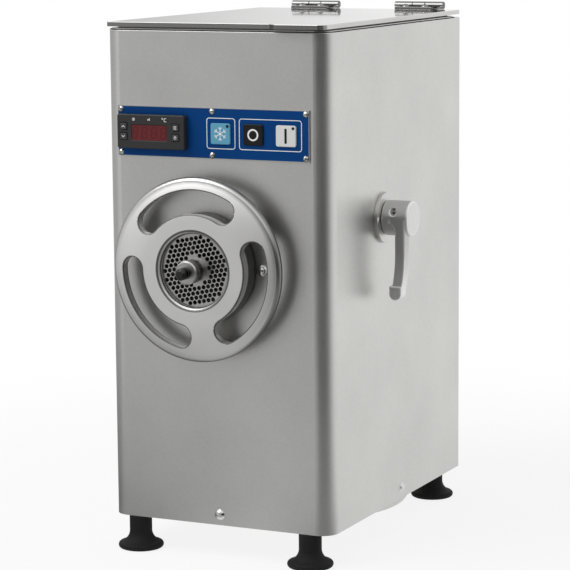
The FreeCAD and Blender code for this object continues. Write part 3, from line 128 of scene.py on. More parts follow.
class GrinderColours(bpy.types.PropertyGroup):
    """Base colours of the finishes."""
    sheet_steel: colour("Sheet steel", "Satin sheet of the cabinet", (0.605, 0.603, 0.585))
    bright_steel: colour("Bright steel", "Lid, hinges, screws and castings", (0.640, 0.636, 0.622))
    wheel_steel: colour("Wheel steel", "Turned face of the handwheel", (0.760, 0.757, 0.745))
    plate_steel: colour("Plate steel", "Ground steel of plate, bush and worm", (0.500, 0.496, 0.486))
    gear_steel: colour("Gear steel", "Hardened gears, shafts and knife", (0.330, 0.325, 0.315))
    alloy: colour("Cast alloy", "Drive castings and the condenser", (0.480, 0.482, 0.486))
    copper: colour("Copper", "Tubes of the cooling circuit", (0.640, 0.300, 0.180))
    film_blue: colour("Film blue", "Front film of the control panel", (0.001, 0.045, 0.185))
    cold_blue: colour("Cold blue", "Cooling button", (0.105, 0.335, 0.480))
    charcoal: colour("Charcoal", "Thermostat's case", (0.026, 0.026, 0.027))
    window_red: colour("Window red", "Thermostat's display window", (0.125, 0.016, 0.019))
    key_grey: colour("Key grey", "Thermostat's keys", (0.052, 0.052, 0.054))
    # Rubber also colours the bead under the rim, which is painted shade there.
    rubber: colour("Rubber", "Feet and the bead under the rim", (0.014, 0.014, 0.014))
    seal_grey: colour("Seal grey", "Gasket under the lid", (0.380, 0.380, 0.370))
    white: colour("White", "White plastic and prints", (0.680, 0.680, 0.668))
    black: colour("Black", "Black plastic and prints", (0.010, 0.010, 0.011))
    motor_grey: colour("Motor grey", "Paint of the motor's shell", (0.140, 0.160, 0.175))


class GrinderStage(bpy.types.PropertyGroup):
    """Lights, floor and camera."""
    lens: number("Lens", "Focal length on a 36 mm sensor", 155.08, "CAMERA")
    world_light: number("Room light", "Strength of the room's plain light", 0.62)
    lamp_power: number("Lamp", "Power of the soft lamp", 34.0, "POWER")
    screen_tone: number("Screen", "Brightness of the dark screen before the front", 0.02)
    wall_tone: number("Left wall", "Brightness of the screen's left wing", 0.48)
    floor_size: length("Floor", "Side of the floor", 12.0)


class Tone:
    """A socket of a node tree. Operators on it add Math nodes, and node() adds any other node."""

    def __init__(self, tree, socket):
        self.tree = tree
        self.socket = socket

    def node(self, kind, settings=(), inputs=(), output=0):
        """Add a node, set it up, and give one of its outputs."""
        made = self.tree.nodes.new(kind)
        for key, value in dict(settings).items():
            setattr(made, key, value)
        for key, value in dict(inputs).items():
            if isinstance(value, Tone):
                self.tree.links.new(value.socket, made.inputs[key])
            else:
                made.inputs[key].default_value = value
        return Tone(self.tree, made.outputs[output])

    def maths(self, operation, *others):
        """Add a Math node with this socket as its first input."""
        return self.node("ShaderNodeMath", {"operation": operation}, enumerate((self,) + others))

    def __add__(self, other):
        return self.maths("ADD", other)

    def __mul__(self, other):
        return self.maths("MULTIPLY", other)

    def __sub__(self, other):
        return self.maths("SUBTRACT", other)

    def __rsub__(self, other):
        return self.node("ShaderNodeMath", {"operation": "SUBTRACT"}, {0: other, 1: self})

    __radd__ = __add__
    __rmul__ = __mul__


def noise(at, scale, detail=2.0, stretch=(1.0, 1.0, 1.0)):
    """Soft noise at a place, with its grain drawn out where stretch is small."""
    place = at.node("ShaderNodeMapping", {}, {"Vector": at, "Scale": stretch})
    return at.node("ShaderNodeTexNoise", {}, {"Vector": place, "Scale": scale, "Detail": detail})


def ramp(value, low, high, start=0.0, end=1.0):
    """Smooth step from start to end while the value goes from low to high."""
    return value.node("ShaderNodeMapRange", {"interpolation_type": "SMOOTHSTEP"},
                      {0: value, 1: low, 2: high, 3: start, 4: end})


def mixed(share, first, second):
    """Colour between two colours."""
    return share.node("ShaderNodeMix", {"data_type": "RGBA"}, {0: share, 6: first, 7: second}, 2)


def bumped(height, depth, strength=0.5):
    """Normal of a surface with a fine relief."""
    return height.node("ShaderNodeBump", {},
                       {"Height": height, "Distance": depth, "Strength": strength})


def shade(base, factor):
    """Lighter or darker colour with its alpha."""
    return tuple(min(1.0, part * factor) for part in base) + (1.0,)


def finish(name, build, **fixed):
    """Procedural material: build gives the sockets that vary, fixed the ones that don't."""
    if name in bpy.data.materials:
        return bpy.data.materials[name]
    material = bpy.data.materials.new(name)
    material.use_nodes = True
    tree = material.node_tree
    shader = tree.nodes["Principled BSDF"]
    at = Tone(tree, tree.nodes.new("ShaderNodeTexCoord").outputs["Object"])
    for key, value in fixed.items():
        shader.inputs[key.replace("_", " ")].default_value = value
    for key, tone in build(at).items():
        tree.links.new(tone.socket, shader.inputs[key])
    return material


def along(at, axis):
    """One coordinate of a place."""
    return at.node("ShaderNodeSeparateXYZ", {}, {0: at}, axis)


def reach_of(at):
    """Distance of a place from the origin."""
    return at.node("ShaderNodeVectorMath", {"operation": "LENGTH"}, {0: at}, 1)


def edge_of(at):
    """1 on the rounds of an edge-rounded copy and 0 elsewhere."""
    return at.node("ShaderNodeAttribute", {"attribute_name": EDGE_MARK}, {}, 2)


def metal(name, base, low, high, stretch=(1.0, 1.0, 1.0), grain=1300.0, depth=0.00002, graze=1.0,
          dark=None, dull=None):
    """Bare metal with a fine grain, clouds and uneven gloss, which the masks dark and dull change; the
    dark masks are mostly painted shade.
    """
    deep, pale, darkest, dulled = 0.78, 1.22, 0.12, 0.32

    def build(at):
        streaks = noise(at, grain, detail=3.0, stretch=stretch)
        clouds = noise(at, scale=9.0, detail=5.0)
        specks = noise(at, scale=420.0)
        tint = mixed(0.7 * clouds + 0.3 * specks, shade(base, deep), shade(base, pale))
        # Painted shade: the dark masks of the lid, screws, lever and bush darken the colour where
        # shade falls; on the worm the pin's tip is only darker.
        if dark:
            tint = mixed(dark(at), tint, shade(base, darkest))
        gloss = low + (high - low) * (0.5 * streaks + 0.5 * clouds)
        if dull:
            gloss = gloss + dulled * dull(at)
        return {
            "Base Color": tint,
            "Roughness": gloss,
            "Normal": bumped(streaks, depth, strength=0.25),
        }
    return finish(name, build, Metallic=1.0, Specular_Tint=shade((graze, graze, graze), 1.0))


def moulded(name, base, low, high, grain=900.0, depth=0.00004, coat=0.0, gloss=0.25):
    """Plastic, rubber or paint with a fine moulded grain and uneven gloss."""
    deep, pale = 0.91, 1.09

    def build(at):
        grains = noise(at, grain, detail=4.0)
        clouds = noise(at, scale=26.0, detail=3.0)
        return {
            "Base Color": mixed(clouds, shade(base, deep), shade(base, pale)),
            "Roughness": low + (high - low) * clouds,
            "Normal": bumped(grains, depth, strength=0.4),
        }
    return finish(name, build, Coat_Weight=coat, Coat_Roughness=0.12, Specular_IOR_Level=gloss)


def turned(name, base, axis, bright_from, outer):
    """Face turned on a lathe: fine rings and a polished rim, with painted shade on the edges, the
    outer rim, the polished band and the back.
    """
    blend, fade_from, fade_to, ring_scale, rim_gloss = 0.003, 0.0030, 0.0005, 2600.0, 0.28
    deep, pale, darkest, rim_dark, band_dark, edge_dark = 0.94, 1.05, 0.2, 0.6, 0.25, 0.95

    def build(at):
        centred = at.node("ShaderNodeVectorMath", {"operation": "SUBTRACT"}, {0: at, 1: axis})
        radius = reach_of(at.node("ShaderNodeVectorMath", {"operation": "MULTIPLY"},
                                  {0: centred, 1: (1.0, 0.0, 1.0)}))
        rings = at.node("ShaderNodeTexNoise", {"noise_dimensions": "1D"},
                        {"W": radius * ring_scale, "Scale": 1.0})
        clouds = noise(at, scale=24.0, detail=3.0)
        polished = ramp(radius, bright_from - blend, bright_from + blend)
        rim = ramp(radius, outer - fade_from, outer - fade_to, 0.0, rim_dark)
        behind = ramp(along(at, "Y"), axis[1] - fade_from, axis[1] - fade_to)
        # Painted shade: the back, the outer rim, the polished band and the rounds of the slots and lip
        # are darkened.
        dark = behind + (rim + band_dark * polished + edge_dark * edge_of(at))
        satin = 0.40 + 0.14 * rings + 0.08 * clouds
        return {
            "Base Color": mixed(dark.maths("MINIMUM", 1.0),
                                mixed(clouds, shade(base, deep), shade(base, pale)),
                                shade(base, darkest)),
            "Roughness": satin + (rim_gloss - satin) * polished,
            "Normal": bumped(rings * (1.0 - polished), depth=0.00003, strength=0.3),
        }
    return finish(name, build, Metallic=1.0)


def between(start, end, share):
    """Place at a share of the way from start to end."""
    return start + (end - start) * share


def finishes(context):
    """Every finish of the grinder by name."""
    c = context.scene.grinder_colours
    wheel_low, wheel_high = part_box("ring_nut_wheel")
    axis = (wheel_low + wheel_high) / 2
    wheel_radius = wheel_high.x - axis.x
    rim_band = 0.0850
    bush_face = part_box("plate_bush")[0].y
    plate_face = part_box("grinding_plate")[0].y
    screw_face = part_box("panel_screws")[0].y
    lid_low, lid_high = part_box("lid")
    lever_low, lever_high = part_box("lock_lever")
    hub_low = lever_high.z - (lever_high.y - lever_low.y)
    upright, endwise, across = (1.0, 1.0, 0.05), (1.0, 0.1, 1.0), (1.0, 1.0, 0.2)

    def lid_edge(at):
        """Painted shade on the lid's cut edge, darkest along the front."""
        below, under, strip, fade, dark, faint = 0.0006, 0.0001, 0.008, 0.014, 0.76, 0.05
        edge = ramp(along(at, "Z"), lid_high.z - below, lid_high.z - under, dark, 0.0)
        return edge * ramp(along(at, "Y"), lid_low.y + strip, lid_low.y + fade, 1.0, faint)

    def lid_under(at):
        """Everything below the lid's bright top skin."""
        below, skin = 0.0011, 0.0008
        return ramp(along(at, "Z"), lid_high.z - below, lid_high.z - skin, 1.0, 0.0)

    def screw_slot_shade(at):
        """Painted shade at the bottom of the panel screws' slots."""
        head, slot = 0.0006, 0.0014
        return ramp(along(at, "Y"), screw_face + head, screw_face + slot)

    def lever_painted_shade(at):
        """Painted shade on the lever's hub and upper arm. The edges, the hub's end face and the grip
        are left bright as painted highlights.
        """
        behind, face, dark, faint = 0.0030, 0.0015, 0.4, 0.3
        upper = ramp(along(at, "Z"), lever_low.z, hub_low, 0.0, dark)
        sides = ramp(along(at, "X"), lever_high.x - behind, lever_high.x - face, 1.0, faint)
        return upper * sides * (1.0 - edge_of(at))

    def bush_painted_shade(at):
        """Painted shade: a dark band round the middle of the bush, at shares of its length."""
        dark = 0.8
        shade_from, shade_full, shade_fade, shade_to = (
            between(bush_face, plate_face, share) for share in (0.36, 0.44, 0.70, 0.76))
        return (ramp(along(at, "Y"), shade_from, shade_full, 0.0, dark)
                * ramp(along(at, "Y"), shade_fade, shade_to, 1.0, 0.0))

    def pin_tip(at):
        """End of the worm's pin in front of the bush."""
        fade = 0.0006
        return ramp(along(at, "Y"), bush_face - fade, bush_face + fade, 1.0, 0.0)

    # Each with its name, base colour and least and greatest roughness, then what sets it apart.
    return {
        "satin": metal("Satin sheet", c.sheet_steel, 0.25, 0.47, upright),
        # The mirror sheet's dark mask is painted shade along the lid's cut edge.
        "mirror": metal("Mirror sheet", c.bright_steel, 0.03, 0.09, endwise, grain=500.0,
                        depth=0.00001, graze=0.92, dark=lid_edge, dull=lid_under),
        "polished": metal("Polished steel", c.bright_steel, 0.08, 0.18, grain=700.0),
        "hinge": metal("Hinge steel", shade(c.bright_steel, 0.36)[:3], 0.08, 0.18, grain=700.0,
                       graze=0.6),
        "screw": metal("Screw steel", c.bright_steel, 0.14, 0.24, grain=700.0, dark=screw_slot_shade),
        "blasted": metal("Blasted casting", c.bright_steel, 0.32, 0.46, grain=1600.0, depth=0.00006),
        # Painted light: the lever's base colour is lighter than the bright steel, and its dark mask
        # shades the hub and upper arm.
        "lever": metal("Lever casting", shade(c.bright_steel, 1.3)[:3], 0.44, 0.58, grain=1600.0,
                       depth=0.00006, dark=lever_painted_shade),
        "bush": metal("Bush steel", c.plate_steel, 0.28, 0.42, dark=bush_painted_shade),
        "worm": metal("Worm steel", shade(c.plate_steel, 0.8)[:3], 0.26, 0.38, dark=pin_tip),
        "ground": metal("Ground plate", c.plate_steel, 0.28, 0.42, across),
        "knife": metal("Knife steel", shade(c.gear_steel, 0.4)[:3], 0.25, 0.38),
        "gear": metal("Gear steel", c.gear_steel, 0.30, 0.46),
        "alloy": metal("Cast alloy", c.alloy, 0.48, 0.66, grain=420.0, depth=0.0002),
        "copper": metal("Copper tube", c.copper, 0.20, 0.40),
        "wheel": turned("Turned wheel", c.wheel_steel, tuple(axis), rim_band, wheel_radius),
        "film": moulded("Blue film", c.film_blue, 0.34, 0.46, grain=1500.0, depth=0.00001, gloss=0.06),
        "cold": moulded("Cold button", c.cold_blue, 0.30, 0.40),
        "charcoal": moulded("Charcoal case", c.charcoal, 0.38, 0.52, grain=1800.0, depth=0.00008,
                            gloss=0.3),
        "window": moulded("Red window", c.window_red, 0.14, 0.22, grain=300.0, depth=0.00001,
                          gloss=0.3),
        "digits": moulded("Dim digits", shade(c.window_red, 0.7)[:3], 0.20, 0.30),
        "key": moulded("Grey keys", c.key_grey, 0.40, 0.55),
        "rubber": moulded("Foot rubber", c.rubber, 0.55, 0.75, grain=700.0, depth=0.0001, gloss=0.12),
        "seal": moulded("Grey seal", c.seal_grey, 0.50, 0.65, grain=700.0, depth=0.00008, gloss=0.15),
        "white": moulded("White plastic", c.white, 0.28, 0.42),
        "ink": moulded("White ink", shade(c.white, 1.2)[:3], 0.40, 0.55, grain=2200.0, depth=0.00002,
                       gloss=0.1),
        "black": moulded("Black plastic", c.black, 0.26, 0.38, gloss=0.2),
        "enamel": moulded("Black enamel", c.black, 0.20, 0.36, grain=500.0, depth=0.00006, coat=0.4),
        "paint": moulded("Motor paint", c.motor_grey, 0.32, 0.48, grain=600.0, depth=0.00008,
                         coat=0.2),
    }


def dress(material, *nodes):
    """Give solids that keep their shape their finish."""
    for node in nodes:
        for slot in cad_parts[node].material_slots:
            slot.material = material


def piece(bm, name, body, slot, material, *nodes, smooth=32.0):
    """Make a finished piece of a mesh and let it ride on its body."""
    mesh = bpy.data.meshes.new(name)
    bm.to_mesh(mesh)
    bm.free()
    mesh.materials.append(material)
    mesh.shade_smooth()
    mesh.set_sharp_from_angle(angle=math.radians(smooth))
    made = bpy.data.objects.new(name, mesh)
    bpy.context.scene.collection.objects.link(made)
    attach(made, body)
    if nodes:
        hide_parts(*nodes)
        even = made.modifiers.new("Even normals", "WEIGHTED_NORMAL")
        even.keep_sharp = True
    return made


def rounded(node, width, segments=3, angle=40.0, above=-1.0):
    """Copy of a solid whose sharp edges above a height are rounded. The rounds carry a mark."""
    bm = bmesh.new()
    bm.from_mesh(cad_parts[node].data)
    bmesh.ops.remove_doubles(bm, verts=bm.verts, dist=WELD)
    bmesh.ops.dissolve_limit(bm, angle_limit=math.radians(FLAT_ANGLE), verts=bm.verts, edges=bm.edges)
    sharp = [edge for edge in bm.edges if edge.calc_face_angle_signed(0.0) > math.radians(angle)
             and min(vert.co.z for vert in edge.verts) > above]
    mark = bm.faces.layers.float.new(EDGE_MARK)
    rounds = bmesh.ops.bevel(bm, geom=sharp, offset=width, offset_type="OFFSET", segments=segments,
                             profile=0.5, affect="EDGES", clamp_overlap=False, material=-1)
    for face in rounds["faces"]:
        face[mark] = 1.0
    return bm


def on_front(x, y, z, turn=0.0):
    """Place on a face that looks towards -Y, with its own x to the right, y up and z off the face."""
    return (Matrix.Translation((x, y, z)) @ Matrix.Rotation(math.radians(90), 4, "X")
            @ Matrix.Rotation(math.radians(turn), 4, "Z"))


def front_way(turn):
    """Direction along such a face, at an angle in degrees from the right."""
    return Vector((math.cos(math.radians(turn)), 0.0, math.sin(math.radians(turn))))


def raise_faces(bm, faces, place, height):
    """Give flat faces a thickness."""
    raised = bmesh.ops.extrude_face_region(bm, geom=faces)["geom"]
    top = [item for item in raised if isinstance(item, bmesh.types.BMVert)]
    bmesh.ops.translate(bm, vec=place.to_3x3() @ Vector((0.0, 0.0, height)), verts=top)


def add_bar(bm, place, width, tall, height, corner=0.0, line=0.0, segments=6):
    """Raised plate with round corners, or only its outline where a line width is given."""
    size = Matrix.Diagonal((width, tall, 1.0, 1.0))
    verts = bmesh.ops.create_grid(bm, x_segments=1, y_segments=1, size=0.5,
                                  matrix=place @ size)["verts"]
    if corner:
        verts = bmesh.ops.bevel(bm, geom=verts, offset=corner, offset_type="OFFSET", segments=segments,
                                profile=0.5, affect="VERTICES", material=-1)["verts"]
    faces = list({face for vert in verts for face in vert.link_faces})
    raise_outline(bm, faces, place, height, line)


def add_disc(bm, place, radius, height, line=0.0, segments=40):
    """Raised disc, or only a ring where a line width is given."""
    verts = bmesh.ops.create_circle(bm, cap_ends=True, radius=radius, segments=segments,
                                    matrix=place)["verts"]
    faces = list({face for vert in verts for face in vert.link_faces})
    raise_outline(bm, faces, place, height, line)


def raise_outline(bm, faces, place, height, line):
    """Raise flat faces, or only a line along their border where its width is given."""
    if line:
        ring = bmesh.ops.inset_region(bm, faces=faces, thickness=line, use_even_offset=True,
                                      use_boundary=True)["faces"]
        bmesh.ops.delete(bm, geom=faces, context="FACES")
        faces = ring
    raise_faces(bm, faces, place, height)


def printed(bm, name, body, slot, material):
    """Make a piece of raised plates, rings and bars."""
    bmesh.ops.recalc_face_normals(bm, faces=bm.faces)
    return piece(bm, name, body, slot, material)


class GRINDER_OT_cabinet(bpy.types.Operator):
    """Finish the cabinet, its base and screws, and build its feet and the dark bead under its rim,
    which is painted shade for the gap there.
    """
    bl_idname = "grinder.cabinet"
    bl_label = "Cabinet"

    def execute(self, context):
        coats = finishes(context)
        sizes = context.scene.grinder_sizes
        dress(coats["satin"], "cabinet_wrap", "back_panel", "base_pan", "floor_dish", "drive_shelf")
        dress(coats["polished"], "case_screws")
        dress(coats["gear"], "foot_bolts")
        dress(coats["black"], "cable_gland")
        low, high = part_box("cabinet_wrap")
        middle = (low + high) / 2
        # Painted shade: a dark rubber ring along the cabinet's rim stands for the shadow in the gap
        # under the hopper's rim.
        bead = bmesh.new()
        inset, corner, wide, sunk = 0.0006, 0.0167, 0.0022, 0.8
        place = Matrix.Translation((middle.x, middle.y, high.z - sunk * sizes.shadow_bead_height))
        add_bar(bead, place, high.x - low.x - inset, high.y - low.y - inset, sizes.shadow_bead_height,
                corner, wide, segments=10)
        printed(bead, "rim_shadow_bead", "cabinet", "gasket_rubber", coats["rubber"])
        piece(rounded("rubber_feet", sizes.foot_edge), "feet", "cabinet", "foot_rubber",
              coats["rubber"], "rubber_feet")
        return {"FINISHED"}


class GRINDER_OT_lid(bpy.types.Operator):
    """Build the mirror-bright lid with its liner, gasket and hinges."""
    bl_idname = "grinder.lid"
    bl_label = "Lid and hinges"

    def execute(self, context):
        coats = finishes(context)
        sizes = context.scene.grinder_sizes
        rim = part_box("lid")[1].z - sizes.lid_edge
        piece(rounded("lid", sizes.lid_edge, above=rim), "lid_sheet", "lid", "lid_steel",
              coats["mirror"], "lid")
        piece(rounded("hinge_lid_leaves", sizes.leaf_edge, segments=2), "lid_leaves", "lid",
              "polished_steel", coats["hinge"], "hinge_lid_leaves")
        piece(rounded("hinge_cabinet_leaves", sizes.leaf_edge, segments=2), "cabinet_leaves",
              "cabinet", "polished_steel", coats["hinge"], "hinge_cabinet_leaves")
        dress(coats["hinge"], "hinge_pins", "hinge_lid_screws")
        dress(coats["white"], "lid_liner")
        dress(coats["seal"], "lid_gasket")
        return {"FINISHED"}


class GRINDER_OT_handwheel(bpy.types.Operator):
    """Build the ring nut's slotted handwheel, turned on its face and polished at its rim."""
    bl_idname = "grinder.handwheel"
    bl_label = "Handwheel"

    def execute(self, context):
        coats = finishes(context)
        sizes = context.scene.grinder_sizes
        piece(rounded("ring_nut_wheel", sizes.wheel_edge), "handwheel", "ring_nut", "polished_steel",
              coats["wheel"], "ring_nut_wheel", smooth=60.0)
        dress(coats["white"], "thrust_ring")
        return {"FINISHED"}


class GRINDER_OT_grinding_head(bpy.types.Operator):
    """Finish the plate, its bush and pin, and the barrel, worm and knife behind it."""
    bl_idname = "grinder.grinding_head"
    bl_label = "Grinding head"

    def execute(self, context):
        coats = finishes(context)
        dress(coats["ground"], "grinding_plate")
        dress(coats["bush"], "plate_bush")
        dress(coats["knife"], "knife")
        dress(coats["worm"], "worm")
        dress(coats["polished"], "front_stop_pin")
        dress(coats["blasted"], "chill_sleeve", "grinding_barrel")
        dress(coats["satin"], "hopper_tray", "feed_chute")
        return {"FINISHED"}


class GRINDER_OT_lock_lever(bpy.types.Operator):
    """Build the cast lock lever on its round flange."""
    bl_idname = "grinder.lock_lever"
    bl_label = "Lock lever"

    def execute(self, context):
        coats = finishes(context)
        sizes = context.scene.grinder_sizes
        piece(rounded("lock_lever", sizes.lever_edge), "lever", "lock_lever", "cast_steel",
              coats["lever"], "lock_lever")
        piece(rounded("lock_flange", sizes.leaf_edge), "flange", "cabinet", "satin_steel",
              coats["satin"], "lock_flange")
        dress(coats["gear"], "lock_shaft", "lever_set_screw")
        return {"FINISHED"}


class GRINDER_OT_control_panel(bpy.types.Operator):
    """Cover the control panel with its blue film and print the white outlines."""
    bl_idname = "grinder.control_panel"
    bl_label = "Control panel"

    def execute(self, context):
        coats = finishes(context)
        sizes = context.scene.grinder_sizes
        low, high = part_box("control_panel")
        middle = (low + high) / 2
        dress(coats["polished"], "control_panel")
        dress(coats["screw"], "panel_screws")
        film = bmesh.new()
        margin = 2 * sizes.film_margin
        add_bar(film, on_front(middle.x, low.y, middle.z), high.x - low.x - margin,
                high.z - low.z - margin, sizes.film_height, FILM_CORNER)
        printed(film, "panel_film", "cabinet", "panel_blue", coats["film"])
        lines = bmesh.new()
        face = low.y - sizes.film_height
        for left, right in FRAME_SPANS:
            place = on_front(low.x + (left + right) / 2, face, low.z + FRAME_MIDDLE)
            add_bar(lines, place, right - left, FRAME_TALL, sizes.print_height, FRAME_CORNER,
                    sizes.frame_line)
        printed(lines, "panel_lines", "cabinet", "button_white", coats["ink"])
        return {"FINISHED"}


class GRINDER_OT_thermostat(bpy.types.Operator):
    """Build the thermostat's bezel, window and keys with their plain symbols."""
    bl_idname = "grinder.thermostat"
    bl_label = "Thermostat"

    def execute(self, context):
        coats = finishes(context)
        sizes = context.scene.grinder_sizes
        piece(rounded("thermostat_bezel", sizes.bezel_edge), "bezel", "cabinet", "bezel_black",
              coats["charcoal"], "thermostat_bezel")
        dress(coats["window"], "thermostat_window")
        dress(coats["black"], "thermostat_body")
        low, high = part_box("thermostat_window")
        self.digits(low, high, sizes.print_height, coats)
        self.signs(low, high, sizes.print_height, coats)
        for key in ("key_up", "key_down", "key_set", "key_power"):
            piece(rounded(key, sizes.key_edge, segments=2), key + "_cap", key, "key_grey",
                  coats["key"], key)
            self.symbol(key, sizes.print_height, coats)
        return {"FINISHED"}

    def digits(self, low, high, height, coats):
        """Unlit seven-bar digits on the window, which lean to the right."""
        bm = bmesh.new()
        count, wide, tall, line, lean = 4, 0.0052, 0.0052, 0.0011, 7.0
        gap, tip = line * 0.6, line * 0.45
        slope = math.tan(math.radians(lean))
        pitch = (high.x - low.x) / count
        z = (low.z + high.z) / 2
        for index in range(count):
            x = low.x + pitch * (index + 0.5)
            for level in (-1, 0, 1):
                place = on_front(x + level * tall * slope, low.y, z + level * tall)
                add_bar(bm, place, wide - gap, line, height, tip, segments=1)
            for side in (-1, 1):
                for level in (-0.5, 0.5):
                    bar_x = x + side * wide / 2 + level * tall * slope
                    place = on_front(bar_x, low.y, z + level * tall, -lean)
                    add_bar(bm, place, line, tall - gap, height, tip, segments=1)
        printed(bm, "window_digits", "cabinet", "window_red", coats["digits"])

    def signs(self, low, high, height, coats):
        """Degree sign and state marks above the window."""
        above, sign_inset, ring_inset, ring_radius, ring_line = 0.0040, 0.0022, 0.0040, 0.0015, 0.00035
        dot_radius, bar_apart, bar_rise, bar_wide, bar_tall, bar_grow = (
            0.0006, 0.0011, 0.0002, 0.0006, 0.0018, 0.0006)
        bm = bmesh.new()
        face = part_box("thermostat_bezel")[0].y
        z = high.z + above
        self.degree_sign(bm, high.x - sign_inset, face, z, height)
        ring = on_front(low.x + ring_inset, face, z)
        add_disc(bm, ring, dot_radius, height, segments=16)
        add_disc(bm, ring, ring_radius, height, ring_line, segments=24)
        for step in (-1, 0, 1):
            place = on_front((low.x + high.x) / 2 + step * bar_apart, face, z + step * bar_rise)
            add_bar(bm, place, bar_wide, bar_tall + step * bar_grow, height)
        printed(bm, "window_signs", "cabinet", "button_white", coats["ink"])

    def degree_sign(self, bm, x, face, z, height):
        """Small ring with an open arc to its right."""
        ring_left, ring_up, ring_radius, ring_line = 0.0034, 0.0013, 0.0009, 0.0004
        arc_radius, arc_open, arc_inner = 0.0019, 0.0012, 0.72
        ring = on_front(x - ring_left, face, z + ring_up)
        add_disc(bm, ring, ring_radius, height, ring_line, segments=16)
        arc = bmesh.ops.create_circle(bm, cap_ends=False, radius=arc_radius, segments=24,
                                      matrix=on_front(x, face, z))["verts"]
        mouth = [vert for vert in arc if vert.co.x > x + arc_open]
        bmesh.ops.delete(bm, geom=mouth, context="VERTS")
        outer = [edge for edge in bm.edges if not edge.link_faces]
        band = bmesh.ops.extrude_edge_only(bm, edges=outer)["geom"]
        inner = [item for item in band if isinstance(item, bmesh.types.BMVert)]
        bmesh.ops.scale(bm, vec=(arc_inner, 1.0, arc_inner), verts=inner,
                        space=Matrix.Translation((-x, -face, -z)))
        faces = [item for item in band if isinstance(item, bmesh.types.BMFace)]
        raise_faces(bm, faces, on_front(0.0, 0.0, 0.0), height)

    def symbol(self, key, height, coats):
        """Plain mark on a key: a chevron up or down, three bars, or a ring with a bar."""
        low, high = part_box(key)
        x, z = (low.x + high.x) / 2, (low.z + high.z) / 2
        bm = bmesh.new()
        if key in ("key_up", "key_down"):
            apart, arm_long, arm_wide = 0.00075, 0.0024, 0.0006
            slope = 45.0 if key == "key_up" else -45.0
            for side in (-1, 1):
                place = on_front(x + side * apart, low.y, z, -side * slope)
                add_bar(bm, place, arm_long, arm_wide, height)
        elif key == "key_set":
            apart, bar_long, bar_wide = 0.0012, 0.0030, 0.0005
            for level in (-1, 0, 1):
                add_bar(bm, on_front(x, low.y, z + level * apart), bar_long, bar_wide, height)
        else:
            ring_radius, ring_line = 0.0014, 0.0004
            bar_up, bar_wide, bar_tall, bar_proud = 0.0012, 0.0005, 0.0016, 1.5
            add_disc(bm, on_front(x, low.y, z), ring_radius, height, ring_line, segments=24)
            add_bar(bm, on_front(x, low.y, z + bar_up), bar_wide, bar_tall, height * bar_proud)
        printed(bm, key + "_mark", key, "button_white", coats["ink"])


class GRINDER_OT_buttons(bpy.types.Operator):
    """Build the three push buttons with their symbols and signal dots."""
    bl_idname = "grinder.buttons"
    bl_label = "Push buttons"

    def execute(self, context):
        coats = finishes(context)
        sizes = context.scene.grinder_sizes
        height = sizes.print_height
        ring_radius, ring_line = 0.0058, 0.0016
        bar_wide, bar_tall, bar_corner = 0.0024, 0.0142, 0.0004
        dot_inset, dot_radius, dot_height = 0.0027, 0.0014, 0.0003
        for button, slot, coat, ink in BUTTONS:
            piece(rounded(button, sizes.button_edge), button + "_cap", button, slot,
                  coats[coat], button)
            low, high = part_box(button)
            x, z = (low.x + high.x) / 2, (low.z + high.z) / 2
            bm = bmesh.new()
            if button == "cold_button":
                self.snowflake(bm, x, low.y, z, height)
            elif button == "stop_button":
                add_disc(bm, on_front(x, low.y, z), ring_radius, height, ring_line, segments=48)
            else:
                add_bar(bm, on_front(x, low.y, z), bar_wide, bar_tall, height, bar_corner)
            printed(bm, button + "_mark", button, slot, coats[ink])
            dot = bmesh.new()
            place = on_front(high.x - dot_inset, low.y, high.z - dot_inset)
            add_disc(dot, place, dot_radius, dot_height, segments=24)
            printed(dot, button + "_dot", button, "button_black", coats["black"])
        return {"FINISHED"}

    def snowflake(self, bm, x, y, z, height):
        """Six arms with forked tips, each a little higher than the last so that no faces meet."""
        stem_long, stem_wide, lift = 0.0068, 0.0007, 0.1
        fork_at, fork_out, fork_turn, fork_long, fork_wide, fork_drop = (
            0.0044, 0.0012, 50, 0.0026, 0.0006, 0.95)
        middle = Vector((x, y, z))
        for arm in range(6):
            turn = 60 * arm + 30
            level = height * (1.0 + lift * arm)
            stem = middle + front_way(turn) * (stem_long / 2)
            add_bar(bm, on_front(stem.x, y, stem.z, turn), stem_long, stem_wide, level)
            for side in (-1, 1):
                fork = turn + side * fork_turn
                tip = middle + front_way(turn) * fork_at + front_way(fork) * fork_out
                place = on_front(tip.x, y, tip.z, fork)
                add_bar(bm, place, fork_long, fork_wide, level * fork_drop)


class GRINDER_OT_drive(bpy.types.Operator):
    """Finish the motor, its gears and the switch gear inside the cabinet."""
    bl_idname = "grinder.drive"
    bl_label = "Drive"

    def execute(self, context):
        coats = finishes(context)
        dress(coats["alloy"], "gearbox_case", "gearbox_cover", "motor_end_shield")
        dress(coats["gear"], "gear_bearings", "stator", "output_gear", "counter_gears", "rotor")
        dress(coats["paint"], "motor_shell")
        dress(coats["black"], "switch_blocks", "control_box")
        return {"FINISHED"}


class GRINDER_OT_cooling(bpy.types.Operator):
    """Finish the cooling circuit inside the cabinet."""
    bl_idname = "grinder.cooling"
    bl_label = "Cooling circuit"

    def execute(self, context):
        coats = finishes(context)
        dress(coats["copper"], "evaporator_jacket", "refrigerant_pipes")
        dress(coats["enamel"], "compressor", "condenser_fan_motor")
        dress(coats["alloy"], "condenser")
        dress(coats["white"], "condenser_fan")
        return {"FINISHED"}


def backdrop_mask(at):
    """1 on rays from the camera, from gloss and through glass."""
    path = at.node("ShaderNodeLightPath")
    seen = path.socket.node.outputs
    camera = Tone(at.tree, seen["Is Camera Ray"])
    gloss = Tone(at.tree, seen["Is Glossy Ray"])
    return (camera + gloss + Tone(at.tree, seen["Is Transmission Ray"])).maths("MINIMUM", 1.0)


